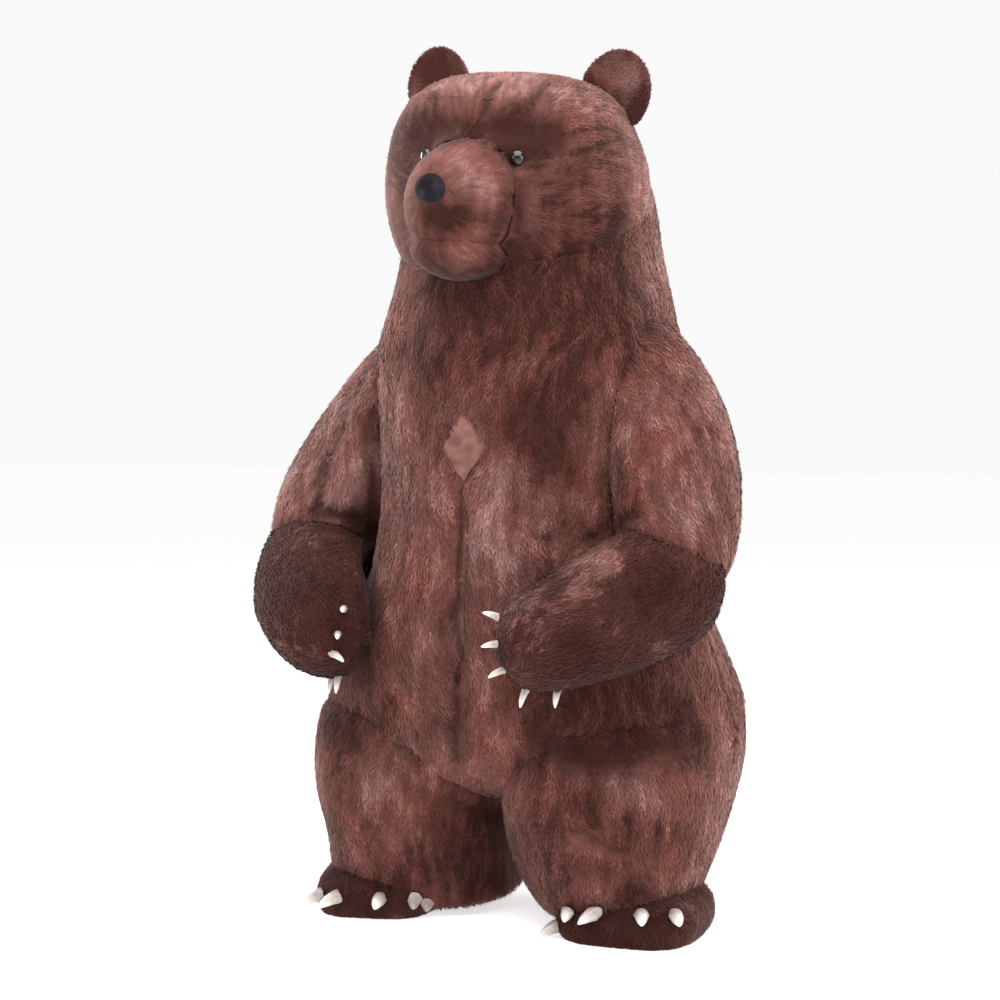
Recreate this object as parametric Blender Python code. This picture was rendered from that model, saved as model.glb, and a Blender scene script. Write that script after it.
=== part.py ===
"""A bear mascot suit, filled out with air and standing on its own foot covers.

Metres, +Z up. The suit faces -Y and its left arm is on the +X side. Every body piece is a
wall of long-pile fur cloth, so each wall is as thick as the cloth and its pile. The trunk,
head, muzzle, sleeves, forearms, legs and feet are forms lofted through rings. Where two
forms meet, each wall is trimmed by the other form, and the pieces stay a seam gap apart.
"""

import math
from collections import namedtuple

import bmesh
import bpy
import numpy as np

CLOTH = 0.012  # fur cloth: backing and pile
WINDOW_CLOTH = 0.002
WINDOW_INSET = 0.006  # the window has no pile, so it lies this far below the fur
SEAM = 0.0003
WELD = 1e-6
SHARP_FROM = math.radians(50)
EAR_FACE = 0.010
TOUCH = 0.016  # an arm stays this far from the trunk that it lies against

HEAD_TURN, HEAD_ROLL = math.radians(-5), math.radians(5)
HEAD_AHEAD, HEAD_ROLL_HEIGHT = 0.10, 2.22
MOUTH_ROW = 4

WINDOW_HEIGHT = 1.398
WINDOW_WIDE, WINDOW_TALL = 0.146, 0.202
WINDOW_BAR = (-0.60, -0.30)  # from and to: the diamond bar that cuts the chest open
WINDOW_ANGLES = [-18, -9, -3, 3, 9, 18]
WINDOW_ROWS = [8, 8.5, 9, 9.5, 10]

# A ring lies level: its half width and its reach to the front and to the back of its centre.
Ring = namedtuple("Ring", "z centre_x centre_y half_width front back")
# A hoop lies across an arm: its centre, its level radius and its other radius.
Hoop = namedtuple("Hoop", "x y z wide tall")
# A fold runs from one place to another, each an angle from the front (to +X) and a height.
Fold = namedtuple("Fold", "angle_a z_a angle_b z_b width depth")
# A claw leaves its form at an angle and a row, and points along a heading (from the front,
# towards the suit's left) and a dip below level.
Claw = namedtuple("Claw", "angle row heading dip")
Form = namedtuple("Form", "surface last_row outward")

TRUNK = [
    Ring(0.330, 0, 0, 0.140, 0.130, 0.130),
    Ring(0.370, 0, 0, 0.360, 0.290, 0.300),
    Ring(0.440, 0, 0, 0.560, 0.410, 0.440),
    Ring(0.540, 0, 0, 0.660, 0.470, 0.510),
    Ring(0.660, 0, 0, 0.660, 0.487, 0.535),
    Ring(0.800, 0, 0, 0.595, 0.487, 0.520),
    Ring(0.950, 0, 0, 0.520, 0.477, 0.490),
    Ring(1.100, 0, 0, 0.460, 0.467, 0.465),
    Ring(1.250, 0, 0, 0.440, 0.462, 0.455),
    Ring(1.400, 0, 0, 0.450, 0.460, 0.460),
    Ring(1.550, 0, 0, 0.470, 0.447, 0.465),
    Ring(1.660, 0, 0, 0.475, 0.430, 0.465),
    Ring(1.760, 0, 0, 0.455, 0.400, 0.450),
    Ring(1.860, 0, 0, 0.422, 0.370, 0.425),
    Ring(1.980, 0, 0, 0.392, 0.340, 0.405),
    Ring(2.100, 0, 0, 0.378, 0.320, 0.395),
    Ring(2.200, 0, 0, 0.350, 0.300, 0.370),
    Ring(2.270, 0, 0, 0.280, 0.240, 0.300),
    Ring(2.310, 0, 0, 0.160, 0.140, 0.170),
]
HEAD = [
    Ring(1.805, 0, 0, 0.110, 0.100, 0.110),
    Ring(1.830, 0, 0, 0.200, 0.185, 0.210),
    Ring(1.890, 0, 0, 0.295, 0.248, 0.270),
    Ring(1.980, 0, 0, 0.365, 0.272, 0.305),
    Ring(2.080, 0, 0, 0.408, 0.275, 0.320),
    Ring(2.180, 0, 0, 0.420, 0.262, 0.330),
    Ring(2.260, -0.004, 0, 0.409, 0.262, 0.335),
    Ring(2.335, -0.010, 0, 0.374, 0.272, 0.322),
    Ring(2.400, -0.008, 0, 0.331, 0.250, 0.288),
    Ring(2.452, -0.004, 0, 0.275, 0.200, 0.228),
    Ring(2.484, 0, 0, 0.185, 0.130, 0.148),
    Ring(2.494, 0, 0, 0.000, 0.000, 0.000),
]
MUZZLE = [
    Ring(1.862, 0, -0.360, 0.000, 0.000, 0.000),
    Ring(1.874, 0, -0.360, 0.075, 0.070, 0.100),
    Ring(1.905, 0, -0.362, 0.132, 0.120, 0.140),
    Ring(1.945, 0, -0.365, 0.156, 0.152, 0.150),
    Ring(1.975, 0, -0.370, 0.132, 0.135, 0.150),
    Ring(2.005, 0, -0.370, 0.155, 0.162, 0.150),
    Ring(2.060, 0, -0.370, 0.167, 0.180, 0.150),
    Ring(2.120, 0, -0.370, 0.166, 0.182, 0.150),
    Ring(2.180, 0, -0.362, 0.150, 0.160, 0.150),
    Ring(2.230, 0, -0.345, 0.122, 0.118, 0.140),
    Ring(2.262, 0, -0.325, 0.080, 0.075, 0.100),
    Ring(2.272, 0, -0.315, 0.000, 0.000, 0.000),
]
LEG_TOP = [
    Ring(0.710, 0.310, 0.010, 0.150, 0.150, 0.160),
    Ring(0.670, 0.318, 0.005, 0.262, 0.300, 0.310),
    Ring(0.590, 0.325, 0.000, 0.328, 0.425, 0.430),
    Ring(0.480, 0.325, -0.010, 0.338, 0.470, 0.460),
    Ring(0.360, 0.318, -0.030, 0.325, 0.455, 0.435),
    Ring(0.250, 0.312, -0.055, 0.306, 0.405, 0.395),
]
LEGS = {
    "left": [
        *LEG_TOP,
        Ring(0.160, 0.316, -0.080, 0.276, 0.350, 0.350),
        Ring(0.110, 0.322, -0.090, 0.248, 0.312, 0.310),
        Ring(0.065, 0.326, -0.092, 0.222, 0.280, 0.280),
        Ring(0.028, 0.332, -0.085, 0.195, 0.225, 0.250),
        Ring(0.013, 0.340, -0.080, 0.140, 0.150, 0.170),
    ],
    "right": [
        *LEG_TOP,
        Ring(0.160, 0.303, -0.078, 0.292, 0.345, 0.360),
        Ring(0.110, 0.303, -0.090, 0.288, 0.305, 0.340),
        Ring(0.065, 0.300, -0.098, 0.288, 0.275, 0.320),
        Ring(0.028, 0.294, -0.100, 0.276, 0.242, 0.285),
        Ring(0.013, 0.305, -0.100, 0.215, 0.190, 0.220),
    ],
}
FOOT = [
    Ring(0.000, 0.000, 0.000, 0.198, 0.248, 0.235),
    Ring(0.030, 0.000, 0.000, 0.210, 0.260, 0.245),
    Ring(0.065, 0.000, 0.000, 0.208, 0.258, 0.243),
    Ring(0.098, 0.000, 0.005, 0.192, 0.236, 0.230),
    Ring(0.124, -0.004, 0.015, 0.155, 0.185, 0.195),
    Ring(0.138, -0.008, 0.025, 0.100, 0.115, 0.130),
]
# A foot stands out from the middle and ahead, turns its toes to the suit's left, and is
# wider or narrower than FOOT by a share.
Stance = namedtuple("Stance", "out ahead turn girth")
STANCES = {"left": Stance(0.410, -0.150, 7, 1.05), "right": Stance(0.406, -0.190, 18, 0.94)}
SLEEVES = {
    "left": [
        Hoop(0.190, -0.010, 1.720, 0.120, 0.120),
        Hoop(0.295, -0.020, 1.665, 0.165, 0.170),
        Hoop(0.380, -0.040, 1.575, 0.187, 0.202),
        Hoop(0.450, -0.070, 1.460, 0.198, 0.218),
        Hoop(0.495, -0.100, 1.330, 0.202, 0.225),
        Hoop(0.520, -0.140, 1.200, 0.196, 0.215),
        Hoop(0.530, -0.180, 1.085, 0.180, 0.190),
        Hoop(0.530, -0.197, 1.020, 0.148, 0.152),
        Hoop(0.530, -0.200, 0.985, 0.115, 0.120),
    ],
    "right": [
        Hoop(-0.190, 0.000, 1.720, 0.120, 0.120),
        Hoop(-0.295, 0.000, 1.665, 0.165, 0.170),
        Hoop(-0.384, -0.010, 1.575, 0.182, 0.197),
        Hoop(-0.474, -0.030, 1.460, 0.192, 0.210),
        Hoop(-0.562, -0.050, 1.325, 0.197, 0.213),
        Hoop(-0.640, -0.080, 1.205, 0.193, 0.202),
        Hoop(-0.665, -0.110, 1.095, 0.178, 0.180),
        Hoop(-0.665, -0.120, 1.030, 0.145, 0.145),
        Hoop(-0.665, -0.125, 0.995, 0.110, 0.110),
    ],
}
FOREARMS = {
    "left": [
        Hoop(0.610, -0.085, 1.042, 0.000, 0.000),
        Hoop(0.602, -0.098, 1.039, 0.080, 0.085),
        Hoop(0.575, -0.140, 1.030, 0.150, 0.160),
        Hoop(0.530, -0.210, 1.012, 0.180, 0.195),
        Hoop(0.475, -0.300, 0.981, 0.180, 0.198),
        Hoop(0.415, -0.400, 0.938, 0.165, 0.185),
        Hoop(0.350, -0.495, 0.898, 0.155, 0.168),
        Hoop(0.280, -0.585, 0.869, 0.138, 0.149),
        Hoop(0.228, -0.648, 0.854, 0.090, 0.098),
        Hoop(0.212, -0.668, 0.850, 0.000, 0.000),
    ],
    "right": [
        Hoop(-0.715, 0.015, 1.060, 0.000, 0.000),
        Hoop(-0.710, 0.000, 1.055, 0.080, 0.085),
        Hoop(-0.692, -0.045, 1.040, 0.155, 0.160),
        Hoop(-0.660, -0.120, 1.010, 0.198, 0.202),
        Hoop(-0.628, -0.200, 0.975, 0.206, 0.208),
        Hoop(-0.572, -0.300, 0.928, 0.204, 0.204),
        Hoop(-0.493, -0.390, 0.882, 0.188, 0.187),
        Hoop(-0.405, -0.475, 0.848, 0.156, 0.155),
        Hoop(-0.352, -0.530, 0.830, 0.090, 0.090),
        Hoop(-0.337, -0.544, 0.825, 0.000, 0.000),
    ],
}
PAW_CLAWS = {
    "left": [
        Claw(10, 8.1, -55, -22),
        Claw(25, 8.75, -60, 4),
        Claw(170, 8.4, -55, 22),
        Claw(180, 7.5, -40, 66),
        Claw(175, 6.6, -20, 74),
    ],
    "right": [
        Claw(0, 7.9, 25, 0),
        Claw(35, 8.55, 28, 5),
        Claw(140, 8.5, 75, 20),
        Claw(180, 7.5, 10, 62),
        Claw(185, 6.5, -25, 70),
    ],
}
FOOT_CLAWS = {
    "left": [
        Claw(-52, 1.0, -34, 22),
        Claw(-33, 2.6, 12, 10),
        Claw(-8, 2.8, -38, 20),
        Claw(12, 2.9, 22, 8),
        Claw(44, 2.8, 30, 8),
    ],
    "right": [
        Claw(46, 1.7, 52, 24),
        Claw(20, 1.9, 42, 22),
        Claw(-4, 1.9, -16, 8),
        Claw(-34, 1.8, -25, 8),
        Claw(-50, 1.4, -28, 8),
    ],
}
PAW_CLAW_LONG, PAW_CLAW_THICK = 0.042, 0.023
FOOT_CLAW_LONG, FOOT_CLAW_THICK = 0.060, 0.045
CLAW_SIDES, CLAW_STEPS, CLAW_TAPER = 6, 4, 1.7
CLAW_BLUNT = 0.012  # the share of the root's squared radius that is left at the point
CLAW_ROOT = 0.015  # how deep a claw starts, before its form trims it
CLAW_CURL, CLAW_EASE = math.radians(28), 0.3  # it curls down past this share of its length
TRUNK_FOLDS = [
    Fold(0, 1.27, 0, 0.45, 0.035, 0.020),
    Fold(-42, 1.50, -40, 1.10, 0.045, 0.018),
    Fold(38, 1.42, 30, 1.05, 0.060, 0.022),
    Fold(48, 0.72, 88, 0.66, 0.040, 0.022),
    Fold(-52, 0.70, -95, 0.64, 0.045, 0.018),
    Fold(22, 1.68, 55, 1.62, 0.045, 0.014),
    Fold(-25, 1.66, -58, 1.58, 0.050, 0.012),
    Fold(180, 1.60, 180, 0.55, 0.045, 0.020),
    Fold(140, 1.05, 168, 0.92, 0.055, 0.020),
    Fold(-150, 1.00, -172, 0.85, 0.055, 0.018),
    Fold(150, 1.74, -160, 1.80, 0.050, 0.016),
]
HEAD_FOLDS = [
    Fold(14, 2.46, 26, 2.38, 0.030, 0.012),
    Fold(-2, 2.46, 6, 2.38, 0.025, 0.010),
    Fold(42, 2.20, 30, 2.24, 0.045, 0.024),
    Fold(-42, 2.20, -30, 2.24, 0.045, 0.024),
    Fold(75, 2.24, 100, 2.26, 0.025, 0.012),
    Fold(-75, 2.24, -100, 2.26, 0.025, 0.012),
    Fold(150, 2.44, 190, 2.40, 0.040, 0.012),
]
LEG_FOLDS = [
    Fold(-20, 0.30, -22, 0.08, 0.030, 0.014),
    Fold(35, 0.46, 85, 0.40, 0.040, 0.018),
    Fold(20, 0.22, 70, 0.26, 0.035, 0.012),
    Fold(120, 0.40, 170, 0.34, 0.045, 0.016),
    Fold(178, 0.30, 180, 0.08, 0.035, 0.014),
]

TRUNK_SQUARE, HEAD_SQUARE, MUZZLE_SQUARE = 2.15, 2.3, 2.15
LEG_SQUARE, FOOT_SQUARE = 2.3, 3.1
STEP, END_ROW = 1e-3, 0.02  # how finely normals are measured, and how near a form's ends
HOOP_STEP = 0.1  # the share of a row over which an arm's direction is measured
LEVEL_STEPS = 400  # how finely the trunk's rows are searched for a height
LEAST_GIRTH, LEAST_DEPTH = 0.2, 0.2  # where a form is smaller, folds and arms move as if at these
FOLD_GIRTH = 0.45  # turns a fold's angles into metres on the cloth
FRONT_ANGLES = [0, 4, 12, 24, 37, 50, 63, 76, 90]
BACK_ANGLES = [90, 105, 120, 135, 150, 165, 180]
FACE_ANGLES = [0, 12, 24, 36, 48, 64, 82]
NAPE_ANGLES = [82, 102, 122, 142, 162, 180]
OUTER_LEG_ANGLES = [-22, -4, 14, 32, 52, 72, 92, 112, 134, 156, 178]
INNER_LEG_ANGLES = [178, 198, 218, 238, 258, 278, 298, 318, 338]
CROWN_ROW = 8
RING_SIDES = 18
UPPER_ARM_ANGLES = [-80, -60, -40, -20, 0, 20, 40, 60, 80, 100]
UNDER_ARM_ANGLES = [100, 120, 140, 160, 180, 200, 220, 240, 260, 280]
SLEEVE_FREE_ROW = 4
LEG_CUT = 1.0  # the reach of the box that cuts a leg off at the middle
SLEEVE_LEVEL, FOREARM_LEVEL = (0, 1, 0), (0, 0, 1)  # what each arm's hoops keep level to
EAR_WIDE, EAR_TALL, EAR_AHEAD = 0.222, 0.252, -0.020
EARS_AT = {"left": (0.274, 2.448), "right": (-0.341, 2.462)}  # on the head: from its middle, and up
EAR_DISH, EAR_BACK, EAR_RIM = 0.030, 0.055, 0.006
EAR_SPLAY, EAR_LEAN = math.radians(2), math.radians(14)
NOSE_SIZE, NOSE_PLACE = (0.050, 0.040, 0.046), (0, -0.545, 2.112)
EAR_SIDES, EAR_SHARES = 16, [0, 0.4, 0.7, 0.9, 1.0]
EAR_THIN = 0.6  # how much thinner the ear's lining is at its edge
EYE_RADIUS, EYE_APART, EYE_PLACE = 0.025, 0.304, (-0.338, 2.222)

FUR_BROWN = (0.150, 0.062, 0.050)
FUR_DARK = (0.075, 0.030, 0.026)
WINDOW_ROSE = (0.270, 0.112, 0.088)
NOSE_BLACK = (0.020, 0.019, 0.026)
EYE_BLACK = (0.010, 0.008, 0.008)
CLAW_IVORY = (0.640, 0.590, 0.540)


def clear_scene():
    for thing in list(bpy.data.objects):
        bpy.data.objects.remove(thing)


def material(name, colour, roughness):
    """One Principled material in a single colour."""
    made = bpy.data.materials.new(name)
    made.use_nodes = True
    shader = made.node_tree.nodes["Principled BSDF"]
    shader.inputs["Base Color"].default_value = (*colour, 1)
    shader.inputs["Roughness"].default_value = roughness
    shader.inputs["Metallic"].default_value = 0
    return made


def between_rows(table, row):
    """The table's columns at each fractional row, on a smooth curve through all its rows."""
    values = np.array(table, float)
    last = len(values) - 1
    row = np.clip(np.asarray(row, float), 0, last)
    start = np.minimum(row.astype(int), last - 1)
    part = (row - start)[..., None]
    before = values[np.maximum(start - 1, 0)]
    here, after = values[start], values[start + 1]
    beyond = values[np.minimum(start + 2, last)]
    pull_here, pull_after = (after - before) / 2, (beyond - here) / 2
    square, cube = part**2, part**3
    return (
        (2 * cube - 3 * square + 1) * here
        + (cube - 2 * square + part) * pull_here
        + (3 * square - 2 * cube) * after
        + (cube - square) * pull_after
    )


def signed_power(value, power):
    return np.sign(value) * np.abs(value) ** power


def fold_depth(folds, angle, height):
    """How far the cloth is drawn in, at each angle and height, by the folds near it."""
    total = np.zeros(np.broadcast(angle, height).shape)
    for fold in folds:
        start = np.array([math.radians(fold.angle_a) * FOLD_GIRTH, fold.z_a])
        run = np.array([math.radians(fold.angle_b) * FOLD_GIRTH, fold.z_b]) - start
        turned = (angle - math.radians(fold.angle_a) + math.pi) % math.tau - math.pi
        across, up = turned * FOLD_GIRTH, height - fold.z_a
        length = max(run @ run, 1e-9)
        along = np.clip((across * run[0] + up * run[1]) / length, 0, 1)
        away = np.hypot(across - along * run[0], up - along * run[1])
        total += fold.depth * np.exp(-((away / fold.width) ** 2))
    return total


def ringed_form(table, square, folds=(), mirrored=False):
    """A form through level rings: it takes an angle from the front and a row, and gives points."""

    def surface(angle, row):
        angle, row = np.broadcast_arrays(np.asarray(angle, float), np.asarray(row, float))
        ring = between_rows(table, row)
        z, centre_x, centre_y, half_width, front, back = np.moveaxis(ring, -1, 0)
        side = signed_power(np.sin(angle), 2 / square)
        ahead = signed_power(np.cos(angle), 2 / square)
        drawn = fold_depth(folds, angle, z)
        keep = 1 - drawn / np.maximum(half_width, LEAST_GIRTH)
        x = centre_x + half_width * side * keep
        y = centre_y - np.where(ahead > 0, front, back) * ahead * keep
        return np.stack([-x if mirrored else x, y, np.maximum(z, 0)], -1)

    return surface


def on_head(x, y, z):
    """Places given on a level, forward head, rolled and turned as the head is."""
    cos, sin = math.cos(HEAD_ROLL), math.sin(HEAD_ROLL)
    height = z - HEAD_ROLL_HEIGHT
    x, z = x * cos + height * sin, HEAD_ROLL_HEIGHT + height * cos - x * sin
    cos, sin = math.cos(HEAD_TURN), math.sin(HEAD_TURN)
    return np.stack([x * cos - y * sin, x * sin + y * cos, z], -1)


def placed_on_head(surface, ahead=0.0):
    """The same form, moved ahead, and rolled and turned as the head is."""

    def turned(angle, row):
        x, y, z = np.moveaxis(surface(angle, row), -1, 0)
        return on_head(x, y - ahead, z)

    return turned


def standing(surface, stance, mirrored):
    """The same form, widened, turned and moved to where the foot stands."""
    cos, sin = math.cos(math.radians(stance.turn)), math.sin(math.radians(stance.turn))
    out = -stance.out if mirrored else stance.out

    def placed(angle, row):
        x, y, z = np.moveaxis(surface(angle, row), -1, 0)
        x = x * stance.girth
        return np.stack([x * cos - y * sin + out, x * sin + y * cos + stance.ahead, z], -1)

    return placed


def trunk_level(points):
    """1 on the trunk's outside, less within it, and the trunk's scale there in metres."""
    fine_rows = np.linspace(0, len(TRUNK) - 1, LEVEL_STEPS)
    row = np.interp(points[..., 2], between_rows(TRUNK, fine_rows)[:, 0], fine_rows)
    ring = between_rows(TRUNK, row)
    half_width, front, back = ring[..., 3], ring[..., 4], ring[..., 5]
    depth = np.where(points[..., 1] < 0, front, back)
    level = np.abs(points[..., 0] / half_width) ** TRUNK_SQUARE
    level = level + np.abs(points[..., 1] / depth) ** TRUNK_SQUARE
    return level ** (1 / TRUNK_SQUARE), np.minimum(half_width, depth)


def hooped_form(table, free_row, level_to):
    """A form through hoops along an arm. From free_row on it lies beside the trunk, not in it."""
    reference = np.array(level_to, float)

    def surface(angle, row):
        angle, row = np.broadcast_arrays(np.asarray(angle, float), np.asarray(row, float))
        hoop = between_rows(table, row)
        ahead = between_rows(table, np.clip(row + HOOP_STEP, 0, len(table) - 1))
        behind = between_rows(table, np.clip(row - HOOP_STEP, 0, len(table) - 1))
        run = ahead[..., :3] - behind[..., :3]
        side = np.cross(run, np.broadcast_to(reference, run.shape))
        side = side / np.linalg.norm(side, axis=-1, keepdims=True)
        up = np.cross(side, run / np.linalg.norm(run, axis=-1, keepdims=True))
        points = (
            hoop[..., :3]
            + side * (hoop[..., 3] * np.sin(angle))[..., None]
            + up * (hoop[..., 4] * np.cos(angle))[..., None]
        )
        depth, size = trunk_level(points)
        wanted = np.maximum(depth, 1 + TOUCH / size)
        free = np.clip(row - free_row, 0, 1)
        free = free * free * (3 - 2 * free)
        scale = 1 + free * (wanted / np.maximum(depth, LEAST_DEPTH) - 1)
        return points * np.stack([scale, scale, np.ones_like(scale)], -1)

    return surface


def as_form(surface, last_row):
    """The surface with its last row and the side that its normals must turn to."""
    angle, row = 0.4, last_row / 2
    middle = (surface(angle, row) + surface(angle + math.pi, row)) / 2
    facing = normals(surface, angle, row, last_row)
    return Form(surface, last_row, 1 if facing @ (surface(angle, row) - middle) > 0 else -1)


def normals(surface, angle, row, last_row):
    """Unit normals by differences, taken just inside the first and last rows."""
    inside = np.clip(row, END_ROW, last_row - END_ROW)
    turn = surface(angle + STEP, inside) - surface(angle - STEP, inside)
    rise = surface(angle, inside + STEP) - surface(angle, inside - STEP)
    cross = np.cross(turn, rise)
    return cross / np.linalg.norm(cross, axis=-1, keepdims=True)


def is_pole(points):
    """Whether a row of points has drawn together into one."""
    return np.ptp(points, axis=0).max() < WELD


def offset_grid(surface, angles, rows, last_row, outward, distance):
    """The grid of points moved out from the form by distance. A pole moves along the mean."""
    all_round = np.radians(evenly(RING_SIDES))
    angle, row = np.meshgrid(angles, rows, indexing="ij")
    points = surface(angle, row)
    facing = normals(surface, angle, row, last_row) * outward
    for index in (0, -1):
        if is_pole(points[:, index]):
            mean = normals(surface, all_round, rows[index], last_row).mean(axis=0) * outward
            facing[:, index] = mean / np.linalg.norm(mean)
    return points + facing * distance


def mesh_object(name, build, look, turn_out=True):
    """An object whose mesh the build function fills, welded and, where asked, turned out."""
    mesh = bpy.data.meshes.new(name)
    body = bmesh.new()
    build(body)
    bmesh.ops.remove_doubles(body, verts=body.verts, dist=WELD)
    bmesh.ops.dissolve_degenerate(body, edges=body.edges, dist=WELD)
    if turn_out:
        bmesh.ops.recalc_face_normals(body, faces=body.faces)
    if body.calc_volume(signed=True) < 0:
        bmesh.ops.reverse_faces(body, faces=body.faces)
    body.to_mesh(mesh)
    body.free()
    mesh.shade_smooth()
    mesh.set_sharp_from_angle(angle=SHARP_FROM)
    made = bpy.data.objects.new(name, mesh)
    bpy.context.scene.collection.objects.link(made)
    if look:
        mesh.materials.append(look)
    return made


def grid_faces(body, corners, around, ascending=True, flip=False):
    """Triangles over a grid of vertices. around joins the last column to the first.

    The diagonals always rise with the angle, so that a wall and the cutters made from the
    same form have the same facets. ascending says which way the columns' angles run.
    """
    columns = len(corners)
    for i in range(columns if around else columns - 1):
        j = (i + 1) % columns
        for k in range(len(corners[0]) - 1):
            quad = [corners[i][k], corners[j][k], corners[j][k + 1], corners[i][k + 1]]
            if not ascending:
                quad = quad[1:] + quad[:1]
            if flip:
                quad = [quad[0], quad[3], quad[2], quad[1]]
            body.faces.new((quad[0], quad[1], quad[2]))
            body.faces.new((quad[0], quad[2], quad[3]))


def add_grid(body, grid):
    return [[body.verts.new(point) for point in column] for column in grid]


def panel(name, form, degrees, rows, look, thick=CLOTH, sink=0.0, around=False, on_floor=False):
    """A wall over part of a form, drawn in by half a seam gap along each sewn edge.

    on_floor lays the first row's edge flat on the floor.
    """
    surface, last_row, outward = form
    angles = np.radians(np.array(degrees, float))
    rows = np.array(rows, float)
    outer = offset_grid(surface, angles, rows, last_row, outward, -sink)
    inner = offset_grid(surface, angles, rows, last_row, outward, -sink - thick)
    for grid in (outer, inner):
        if not around:
            pull_in(grid, 0, 1)
            pull_in(grid, -1, -2)
        across = np.swapaxes(grid, 0, 1)
        for edge, next_to in ((0, 1), (-1, -2)):
            if not is_pole(across[edge]):
                pull_in(across, edge, next_to)
            elif not around:
                pull_in_pole(across, edge, next_to)
        if on_floor:
            across[0, :, 2] = 0

    ascending = degrees[1] > degrees[0]
    open_rows = [row for row in (0, -1) if not is_pole(outer[:, row])]

    def build(body):
        outside, inside = add_grid(body, outer), add_grid(body, inner)
        grid_faces(body, outside, around, ascending, outward < 0)
        grid_faces(body, inside, around, ascending, outward > 0)
        for row in open_rows:
            rims = [[one[row], two[row]] for one, two in zip(outside, inside)]
            grid_faces(body, rims, around, ascending)
        if not around:
            for column in (0, -1):
                rims = list(zip(outside[column], inside[column]))
                grid_faces(body, rims, False)

    return mesh_object(name, build, look, bool(open_rows) or not around)


def pull_in(grid, edge, next_to):
    """Moves a grid's edge row half a seam gap towards the row next to it."""
    run = grid[next_to] - grid[edge]
    length = np.linalg.norm(run, axis=-1, keepdims=True)
    grid[edge] += run / np.maximum(length, 1e-9) * SEAM / 2


def pull_in_pole(grid, edge, next_to):
    """Moves a half form's pole off the seam, towards the middle of the row next to it."""
    middle = len(grid[next_to]) // 2
    run = grid[next_to][middle] - grid[edge][0]
    grid[edge] += run / np.linalg.norm(run) * SEAM / 2


def cutter(name, form, rows, grown, sides=RING_SIDES, degrees=None):
    """The whole form as one hidden solid, grown or shrunk, for trimming its neighbours."""
    surface, last_row, outward = form
    angles = np.radians(degrees) if degrees is not None else np.arange(sides) * math.tau / sides
    grid = offset_grid(surface, angles, np.array(rows, float), last_row, outward, grown)

    def build(body):
        corners = add_grid(body, grid)
        grid_faces(body, corners, True)
        for row in (0, -1):
            if not is_pole(grid[:, row]):
                body.faces.new([column[row] for column in corners])

    made = mesh_object(name, build, None)
    hide(made)
    return made


def hide(helper):
    helper.hide_render = True
    helper.display_type = "WIRE"


def trim(piece, *cutters, operation="DIFFERENCE"):
    for tool in cutters:
        modifier = piece.modifiers.new(tool.name, "BOOLEAN")
        modifier.operation = operation
        modifier.solver = "EXACT"
        modifier.object = tool


def box(name, low, high):
    """A hidden box between two corners."""

    def build(body):
        size = np.array(high) - np.array(low)
        middle = (np.array(high) + np.array(low)) / 2
        made = bmesh.ops.create_cube(body, size=1)
        bmesh.ops.scale(body, vec=size, verts=made["verts"])
        bmesh.ops.translate(body, vec=middle, verts=made["verts"])

    helper = mesh_object(name, build, None)
    hide(helper)
    return helper


def evenly(sides):
    return [360 * side / sides for side in range(sides)]


def both_sides(*runs):
    """All the angles of a left half, and their mirror images, once round."""
    half = sorted({angle for run in runs for angle in run})
    return sorted({-angle for angle in half if angle < 180} | set(half))


def make_forms():
    """Every form by name, each with the angles that its pieces and its cutter share."""
    head = ringed_form(HEAD, HEAD_SQUARE, HEAD_FOLDS)
    muzzle = ringed_form(MUZZLE, MUZZLE_SQUARE)
    forms = {
        "trunk": as_form(ringed_form(TRUNK, TRUNK_SQUARE, TRUNK_FOLDS), len(TRUNK) - 1),
        "head": as_form(placed_on_head(head, HEAD_AHEAD), len(HEAD) - 1),
        "muzzle": as_form(placed_on_head(muzzle), len(MUZZLE) - 1),
    }
    for side in ("left", "right"):
        mirrored = side == "right"
        sleeve = hooped_form(SLEEVES[side], SLEEVE_FREE_ROW, SLEEVE_LEVEL)
        forearm = hooped_form(FOREARMS[side], 0, FOREARM_LEVEL)
        leg = ringed_form(LEGS[side], LEG_SQUARE, LEG_FOLDS, mirrored)
        foot = standing(ringed_form(FOOT, FOOT_SQUARE, (), mirrored), STANCES[side], mirrored)
        forms[f"sleeve_{side}"] = as_form(sleeve, len(SLEEVES[side]) - 1)
        forms[f"forearm_{side}"] = as_form(forearm, len(FOREARMS[side]) - 1)
        forms[f"leg_{side}"] = as_form(leg, len(LEGS[side]) - 1)
        forms[f"foot_{side}"] = as_form(foot, len(FOOT) - 1)
    return forms


def form_degrees(name):
    """The angles at which a form's pieces and cutters both have their corners."""
    if name == "trunk":
        return both_sides(FRONT_ANGLES, BACK_ANGLES)
    if name == "head":
        return both_sides(FACE_ANGLES, NAPE_ANGLES)
    if name.startswith("leg"):
        return OUTER_LEG_ANGLES[:-1] + INNER_LEG_ANGLES[:-1]
    return evenly(RING_SIDES)


def rows_of(form, first=0, last=None):
    return list(range(first, (form.last_row if last is None else last) + 1))


def make_cutters(forms):
    """For each form, its outside grown by a seam gap, and its inside."""
    cutters = {}
    for name, form in forms.items():
        degrees, rows = form_degrees(name), rows_of(form)
        cutters[name] = cutter(f"cut_{name}", form, rows, SEAM, degrees=degrees)
        cutters[f"{name}_hollow"] = cutter(f"cut_{name}_in", form, rows, -CLOTH, degrees=degrees)
    return cutters


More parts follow.
